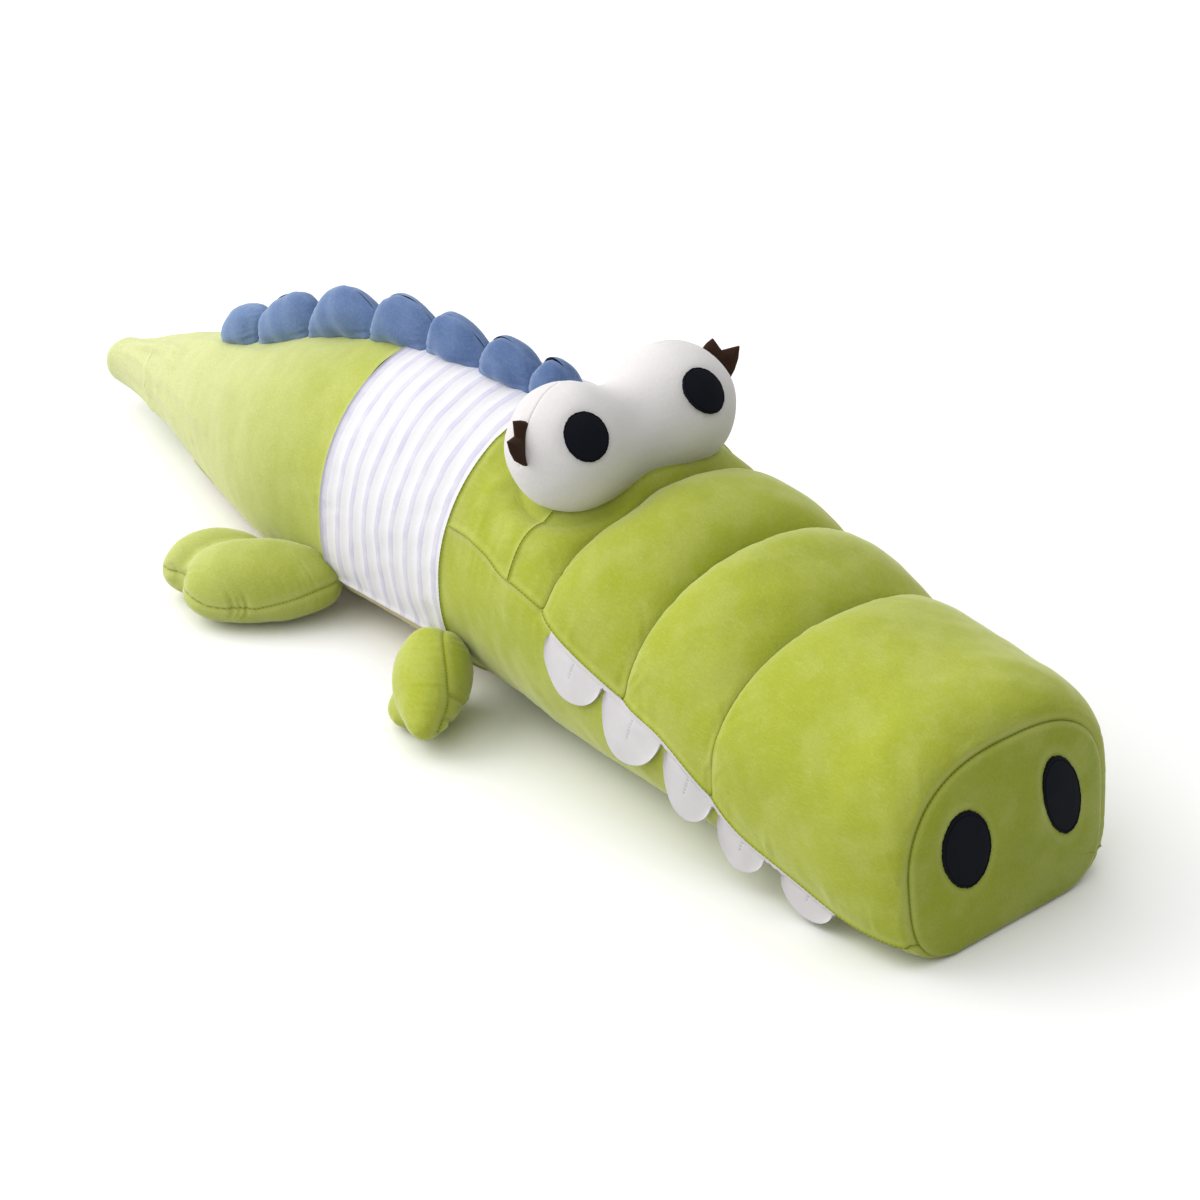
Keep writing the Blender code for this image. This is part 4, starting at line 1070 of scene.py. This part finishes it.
def teeth():
    """On each side the sewn edge, a narrow strip, and under it five scallops with a stitched dart."""
    for hand, flip in (("left", 1), ("right", -1)):
        mirror = np.array([flip, 1, 1])
        share = np.linspace(TEETH[0][0], TEETH[-1][1], 260)
        seam = seam_height(share, MOUTH)
        strip, _ = felt_side(share, seam - 0.0006, seam - 0.0054 - 0.0005 * np.sin(share * 900), 6, 0.0)
        strip[..., 0] += 0.0003
        shell = [g * mirror for g in felt_sheet(strip)]
        mesh = mesh_of("gum", shell, mark=[0 * g[..., 0] for g in shell])
        turned_out(mesh)
        piece(f"felt_edge_{hand}", mesh, TOOTH, "body", (f"gum_strip_{hand}",))
        for k, (start, end, drop) in enumerate(TEETH, 1):
            t = (1 - np.cos(np.linspace(0, pi, 90))) / 2
            share = start + (end - start) * t
            curve = np.sqrt(np.clip(1 - (2 * t - 1) ** 2, 0, 1)) ** 1.05
            top = seam_height(share, MOUTH)
            bottom = np.maximum(top - 0.0044 - drop * curve, 0.0010)
            sheet, down = felt_side(share, top - 0.0042, bottom, 44, 0.0022)
            far = (share - share.mean()) * LENGTH
            below = top - sheet[..., 2]
            sheet[..., 0] += 0.0006
            sheet[..., 1] += TOOTH_LEAN * below
            dart = np.exp(-(far / 0.0007) ** 2) * (below < drop * 0.60) * (below > 0.002)
            bulge = 0.0010 * np.exp(-(far / 0.016) ** 2) * np.clip(below / 0.01, 0, 1)
            sheet[..., 0] += bulge - 0.0004 * dart
            sheet[..., 0] += 0.0006 * lumps(sheet, 0.03, 100 + k) * down
            dashes = dart * (np.sin(below * 2 * pi / 0.0030) > -0.2) * 0.8
            grids = [g * mirror for g in felt_sheet(sheet)]
            mesh = mesh_of("tooth", grids, mark=[dashes] + [np.zeros(g.shape[:2]) for g in grids[1:]])
            turned_out(mesh)
            name = f"tooth_{hand}_{k}"
            piece(f"felt_{name}", mesh, TOOTH, name, (name,))


# Back humps: share and height of the crest at each end, peak and valley in turn

HUMP_CREST = np.array([
    (0.8580, 0.0010), (0.8280, 0.0336), (0.8072, 0.0250), (0.7710, 0.0417), (0.7431, 0.0222),
    (0.7143, 0.0429), (0.6687, 0.0188), (0.6444, 0.0398), (0.6033, 0.0200), (0.5873, 0.0336),
    (0.5448, 0.0140), (0.5232, 0.0318), (0.4873, 0.0166), (0.4685, 0.0343), (0.4430, 0.0010),
])


def humps():
    """Left and right panels over the row of humps, joined at the crest and pinched in each valley."""
    per = 20
    place = np.linspace(0, len(HUMP_CREST) - 1, per * (len(HUMP_CREST) - 1) + 1)
    number = np.clip(place.astype(int), 0, len(HUMP_CREST) - 2)
    t = place - number
    peak_next = number % 2 == 0
    u = np.where(peak_next, t, 1 - t)
    u = 1 - (1 - u) ** 1.25
    share = HUMP_CREST[number, 0] * (1 - t) + HUMP_CREST[number + 1, 0] * t
    peak = np.where(peak_next, HUMP_CREST[number + 1, 1], HUMP_CREST[number, 1])
    dale = np.where(peak_next, HUMP_CREST[number, 1], HUMP_CREST[number + 1, 1])
    ends = (place < 1) | (place > len(HUMP_CREST) - 2)
    swell = np.sin(pi / 2 * u) ** np.where(ends, 0.80, 1.0)
    high = dale + (peak - dale) * swell
    shut = np.minimum(run(np.stack([0 * share, share * LENGTH, high], axis=-1), 0), 1.0)
    valleys = shut[::2 * per]
    from_valley = np.min(np.abs(shut[:, None] - valleys[None]), axis=1)
    wide = 0.0095 + 0.0080 * np.clip(swell, 0, 1) ** 0.75 * np.clip(high / 0.030, 0.5, 1.1)
    wide = np.where(ends, 0.0015 + (wide - 0.0015) * np.clip(swell * 1.4, 0, 1) ** 0.6, wide)
    foot = np.minimum(wide, 0.0105 + 0.0015 * swell)
    v = np.concatenate([np.linspace(-1, 0, 12)[:-1], np.linspace(0, 1, 30)])[None]
    level = 0.36 * high[:, None]
    lower = foot[:, None] + (wide - foot)[:, None] * np.sin(pi / 2 * (v + 1))
    x = np.where(v < 0, lower, wide[:, None] * np.cos(pi / 2 * np.clip(v, 0, 1)) ** 0.92)
    z = np.where(v < 0, level * (v + 1), level + (high[:, None] - level) * np.sin(pi / 2 * np.clip(v, 0, 1)))
    y = (share[:, None] - 0.5) * LENGTH + 0 * x
    base = back_height(share[:, None], x) - 0.0015
    for name, side in (("left", 1), ("right", -1)):
        p = np.stack([side * x, y, base + z], axis=-1)
        n = normals(p) if side > 0 else normals(p[:, ::-1])[:, ::-1]
        n = np.where(n[..., 0:1] * side < 0, -n, n)
        bottom = run(p, 1)
        crest = bottom[:, -1:] - bottom
        near = from_valley[:, None] + 0 * crest
        lift = (0.0011 * lumps(p, 0.030, 121 + side) * np.clip(near / 0.01, 0, 1) - tuck(near, 0.009, 0.0024)
                + 0.0008 * puckers(bottom, near, 123, 0.009, 0.009)
                + 0.0004 * puckers(run(p, 0), crest, 124, 0.006, 0.009))
        p = p + n * (lift * np.clip(high / 0.01, 0, 1)[:, None])[..., None]
        p[:, -1, 0] = 0
        away = np.minimum(np.minimum(near, crest + 0.0024), bottom)
        uv = np.stack([run(p, 0), run(p, 1)], axis=-1)
        mesh = mesh_of("hump", [p], [uv], away=[away], along=[np.where(near < crest, run(p, 1), run(p, 0))])
        turned_out(mesh)
        replaced = (f"hump_cover_{name}", "hump_filling") if name == "left" else (f"hump_cover_{name}",)
        piece(f"velvet_humps_{name}", mesh, BLUE, "body", replaced)


# Legs: each lobe is where its middle lies outwards, aside and up from the pivot, its half sizes, its turn,
# its dip outwards and its taper

LEGS = {
    "front": dict(pivot=(0.1283, -0.030), turn=-44.0, lobes=(
        ((0.004, 0.002, 0.030), (0.020, 0.0170, 0.022), 0.0, 0.0, 0.0),
        ((0.036, -0.007, 0.036), (0.052, 0.0290, 0.033), 0.0, 12.0, 0.36),
        ((0.031, 0.012, 0.015), (0.020, 0.0150, 0.0145), 0.0, 0.0, 0.10),
    )),
    "hind": dict(pivot=(0.1259, 0.160), turn=36.0, lobes=(
        ((-0.002, 0.000, 0.030), (0.030, 0.0300, 0.027), 0.0, 0.0, 0.0),
        ((0.0145, -0.003, 0.025), (0.0650, 0.0380, 0.040), 0.0, 0.0, -0.10),
        ((0.051, 0.034, 0.024), (0.0445, 0.0255, 0.034), -6.0, 0.0, 0.0),
    )),
}

# The legs lie this far above the floor
LEG_GAP = 0.0003

# The front leg's seam: run along it from the body and place aside, from the top down to the tip
FRONT_SEAM = np.array([
    (0.000, -0.0140), (0.011, -0.0146), (0.031, -0.0174), (0.067, -0.0225), (0.095, -0.0243),
    (0.107, -0.0225), (0.123, -0.0184), (0.144, -0.0110), (0.160, -0.0080),
])


def lobe(middle, sizes, turn, dip, taper, power=2.15):
    """A plump egg shape, longest along its own X and never lower than the floor: points and faces."""
    rows, cols = 22, 32
    v = np.linspace(0, pi, rows)[:, None]
    w = np.linspace(0, 2 * pi, cols + 1)[:-1][None]
    x = np.sign(np.cos(v)) * np.abs(np.cos(v)) ** (2 / power) + 0 * w
    round_it = np.sin(v) ** (2 / power) * (1 - taper * x)
    p = np.stack([x * sizes[0], round_it * np.cos(w) * sizes[1], round_it * np.sin(w) * sizes[2]], axis=-1)
    p[..., 2] *= np.where(p[..., 2] < 0, min(1, middle[2] / sizes[2]), 1)
    dipped, turned = np.array(Matrix.Rotation(dip, 3, "Y")).T, np.array(Matrix.Rotation(turn, 3, "Z")).T
    p = p.reshape(-1, 3) @ dipped @ turned + middle
    i = np.arange(rows * cols).reshape(rows, cols)
    j = np.roll(i, -1, axis=1)
    return p, np.stack([i[:-1], i[1:], j[1:], j[:-1]], axis=-1).reshape(-1, 4)


def worked(thing):
    """The mesh that an object's modifiers make of it; the object goes."""
    shape = bpy.data.meshes.new_from_object(thing.evaluated_get(bpy.context.evaluated_depsgraph_get()))
    bpy.data.objects.remove(thing)
    return shape


def leg_shape(d):
    """One leg at +X: lobes remeshed into one skin, stuffed, then made finer."""
    turn = radians(d["turn"])
    out, aside = np.array([cos(turn), sin(turn), 0]), np.array([-sin(turn), cos(turn), 0])
    pivot = np.array([*d["pivot"], 0.0])
    points, faces, start = [], [], 0
    for (along, off, up), sizes, extra, dip, taper in d["lobes"]:
        middle = pivot + out * along + aside * off + np.array([0, 0, up])
        p, f = lobe(middle, sizes, turn + radians(extra), radians(dip), taper)
        points.append(p)
        faces.append(f + start)
        start += len(p)
    mesh = bpy.data.meshes.new("leg")
    mesh.from_pydata(np.concatenate(points).tolist(), [], np.concatenate(faces).tolist())
    thing = placed("leg", mesh)
    step = thing.modifiers.new("Remesh", "REMESH")
    step.mode, step.voxel_size = "VOXEL", 0.0040
    step = thing.modifiers.new("Smooth", "SMOOTH")
    step.factor, step.iterations = 0.5, 3
    shape = worked(thing)
    p = vectors(shape, "co")
    p[:, 2] = np.maximum(p[:, 2], LEG_GAP)
    pins = ((p[:, 2] < 0.003) | (np.linalg.norm(p[:, :2] - pivot[:2], axis=1) < 0.012)) * 1.0
    moved = cloth(p, [list(f.vertices) for f in shape.polygons], pins, 4.0) - p
    size = np.linalg.norm(moved, axis=1, keepdims=True)
    p = p + moved * np.minimum(1, 0.0035 / np.maximum(size, 1e-9))
    shape.vertices.foreach_set("co", p.ravel())
    thing = placed("leg", shape)
    step = thing.modifiers.new("Finer", "SUBSURF")
    step.levels = step.render_levels = 2
    return worked(thing), pivot, out, aside


def leg_seams(mesh, end, pivot, out, aside):
    """Tuck, puckers and folds along the leg's edge seam, upright on a front leg and low on a hind one."""
    p, n = vectors(mesh, "co"), vectors(mesh, "normal")
    u, v, z = (p - pivot) @ out, (p - pivot) @ aside, p[:, 2]
    if end == "front":
        length = u + 0.070 - z
        seam = smooth(length, FRONT_SEAM)
        off = np.abs(v - seam)
        shown = (z > 0.004) * np.clip((u + 0.016) / 0.01, 0, 1)
        spots = ((0.084, 0.0030), (0.108, 0.0028), (0.132, 0.0028))
        below = v < seam
    else:
        height = 0.0262 + 0.17 * np.clip(0.020 - u, 0, 0.05) + 0.25 * np.clip(u - 0.060, 0, 0.02)
        off = np.abs(z - height)
        shown = np.clip((0.070 - np.abs(u - 0.025)) / 0.01, 0, 1) + 0 * z
        length = u - v
        spots = ((0.0690, 0.0020), (0.0740, 0.0022), (0.0790, 0.0020))
        below = np.ones(len(p))
    off = np.where(shown > 0, off, 1.0)
    lift = -tuck(off, 0.007, 0.0014) * shown + 0.0006 * puckers(length, off, 131) * shown
    for spot, wide in spots:
        lift = lift - 0.0030 * np.exp(-((length - spot) / wide) ** 2 - (off / 0.011) ** 2) * shown * below
    lift = lift + 0.0008 * lumps(p, 0.035, 133) * np.clip(z / 0.01, 0, 1) * np.clip(off / 0.008, 0, 1)
    p = p + n * lift[:, None]
    p[:, 2] = np.maximum(p[:, 2], LEG_GAP)
    mesh.vertices.foreach_set("co", p.ravel())
    keep(mesh, "away", off)
    keep(mesh, "along", length)
    mesh.update()
    mesh.shade_smooth()


def legs():
    """Four legs: a front and a hind shape, each at both sides."""
    for end, d in LEGS.items():
        shape, pivot, out, aside = leg_shape(d)
        leg_seams(shape, end, pivot, out, aside)
        for hand, flip in (("left", 1), ("right", -1)):
            mesh = shape.copy()
            if flip < 0:
                mesh.transform(Matrix.Diagonal((-1, 1, 1, 1)))
                mesh.flip_normals()
            name = f"leg_{end}_{hand}"
            mirror = np.array([flip, 1, 1])
            middle = (pivot + np.array([0, 0, 0.03])) * mirror
            step = out * 0.016 * mirror
            piece(f"velvet_{name}", mesh, GREEN, ("body", name, tuple(middle - step), tuple(middle + step)),
                  (f"{name}_top", f"{name}_sole", f"{name}_filling"))


# Stage

def floor_material():
    """White to the eye and in reflections; greyer in the light it throws back, as paper on a table."""
    material, tree, shader = nodes_of("pale_floor")
    ray = node(tree, "ShaderNodeLightPath")
    seen = maths(tree, "MAXIMUM", ray.outputs["Is Camera Ray"], ray.outputs["Is Glossy Ray"])
    seen = maths(tree, "MAXIMUM", seen, ray.outputs["Is Transmission Ray"])
    link(tree, blend_colour(tree, seen, (0.70, 0.70, 0.70), (1.0, 1.0, 1.0)), shader.inputs["Base Color"])
    shader.inputs["Roughness"].default_value = 1.0
    shader.inputs["Specular IOR Level"].default_value = 0.0
    return material


# Where the sky is brightest, and its strength far from there and at it
SKY_FROM, SKY_LOW, SKY_HIGH = (-0.24, 0.62, 0.75), 0.23, 1.45


def sky():
    """Soft studio light all round, strongest from above, behind and the left."""
    world = bpy.data.worlds.new("studio")
    bpy.context.scene.world = world
    world.use_nodes = True
    tree = world.node_tree
    towards = node(tree, "ShaderNodeVectorMath", operation="DOT_PRODUCT")
    link(tree, node(tree, "ShaderNodeTexCoord").outputs["Generated"], towards.inputs[0])
    towards.inputs[1].default_value = SKY_FROM
    strength = remap(tree, towards.outputs["Value"], -0.35, 1.0, SKY_LOW, SKY_HIGH)
    background = tree.nodes["Background"]
    background.inputs["Color"].default_value = (1.0, 1.0, 1.0, 1.0)
    link(tree, strength, background.inputs["Strength"])


# The photograph's camera: its place, its turn and fall in degrees, and its lens; and the lamp's place
CAMERA_AT, CAMERA_TURN, CAMERA_FALL, CAMERA_LENS = (-2.2310, -2.6850, 2.0424), -40.649, 29.924, 151.9
LAMP_AT, LAMP_SIZE, LAMP_POWER = (-1.5, 1.7, 1.8), 2.0, 29.0


def stage():
    """A pale floor, soft light from above, behind and the left, and the camera of the photograph."""
    mesh = bpy.data.meshes.new("floor")
    mesh.from_pydata([(-30, -30, 0), (30, -30, 0), (30, 30, 0), (-30, 30, 0)], [], [(0, 1, 2, 3)])
    floor = placed("floor", mesh)
    mesh.materials.append(floor_material())
    sky()
    light = bpy.data.lights.new("key", "AREA")
    light.size = LAMP_SIZE
    light.energy = LAMP_POWER
    lamp = placed("key", light)
    lamp.location = LAMP_AT
    lamp.rotation_euler = (Vector((0, 0.1, 0.1)) - Vector(LAMP_AT)).to_track_quat("-Z", "Y").to_euler()
    turn, fall = radians(CAMERA_TURN), radians(CAMERA_FALL)
    ahead = Vector((-sin(turn) * cos(fall), cos(turn) * cos(fall), -sin(fall)))
    right = Vector((cos(turn), sin(turn), 0))
    above = right.cross(ahead)
    lens = bpy.data.cameras.new("camera")
    lens.lens, lens.sensor_width, lens.clip_end = CAMERA_LENS, 36.0, 100.0
    camera = placed("camera", lens)
    place = Matrix((right, above, -ahead)).transposed().to_4x4()
    place.translation = Vector(CAMERA_AT)
    camera.matrix_world = place
    scene = bpy.context.scene
    scene.camera = camera
    scene.view_settings.view_transform = "Standard"
    scene.render.resolution_x = scene.render.resolution_y = 1200


covers()
nose()
nostrils()
eyes()
pupils()
lashes()
teeth()
humps()
legs()
stage()
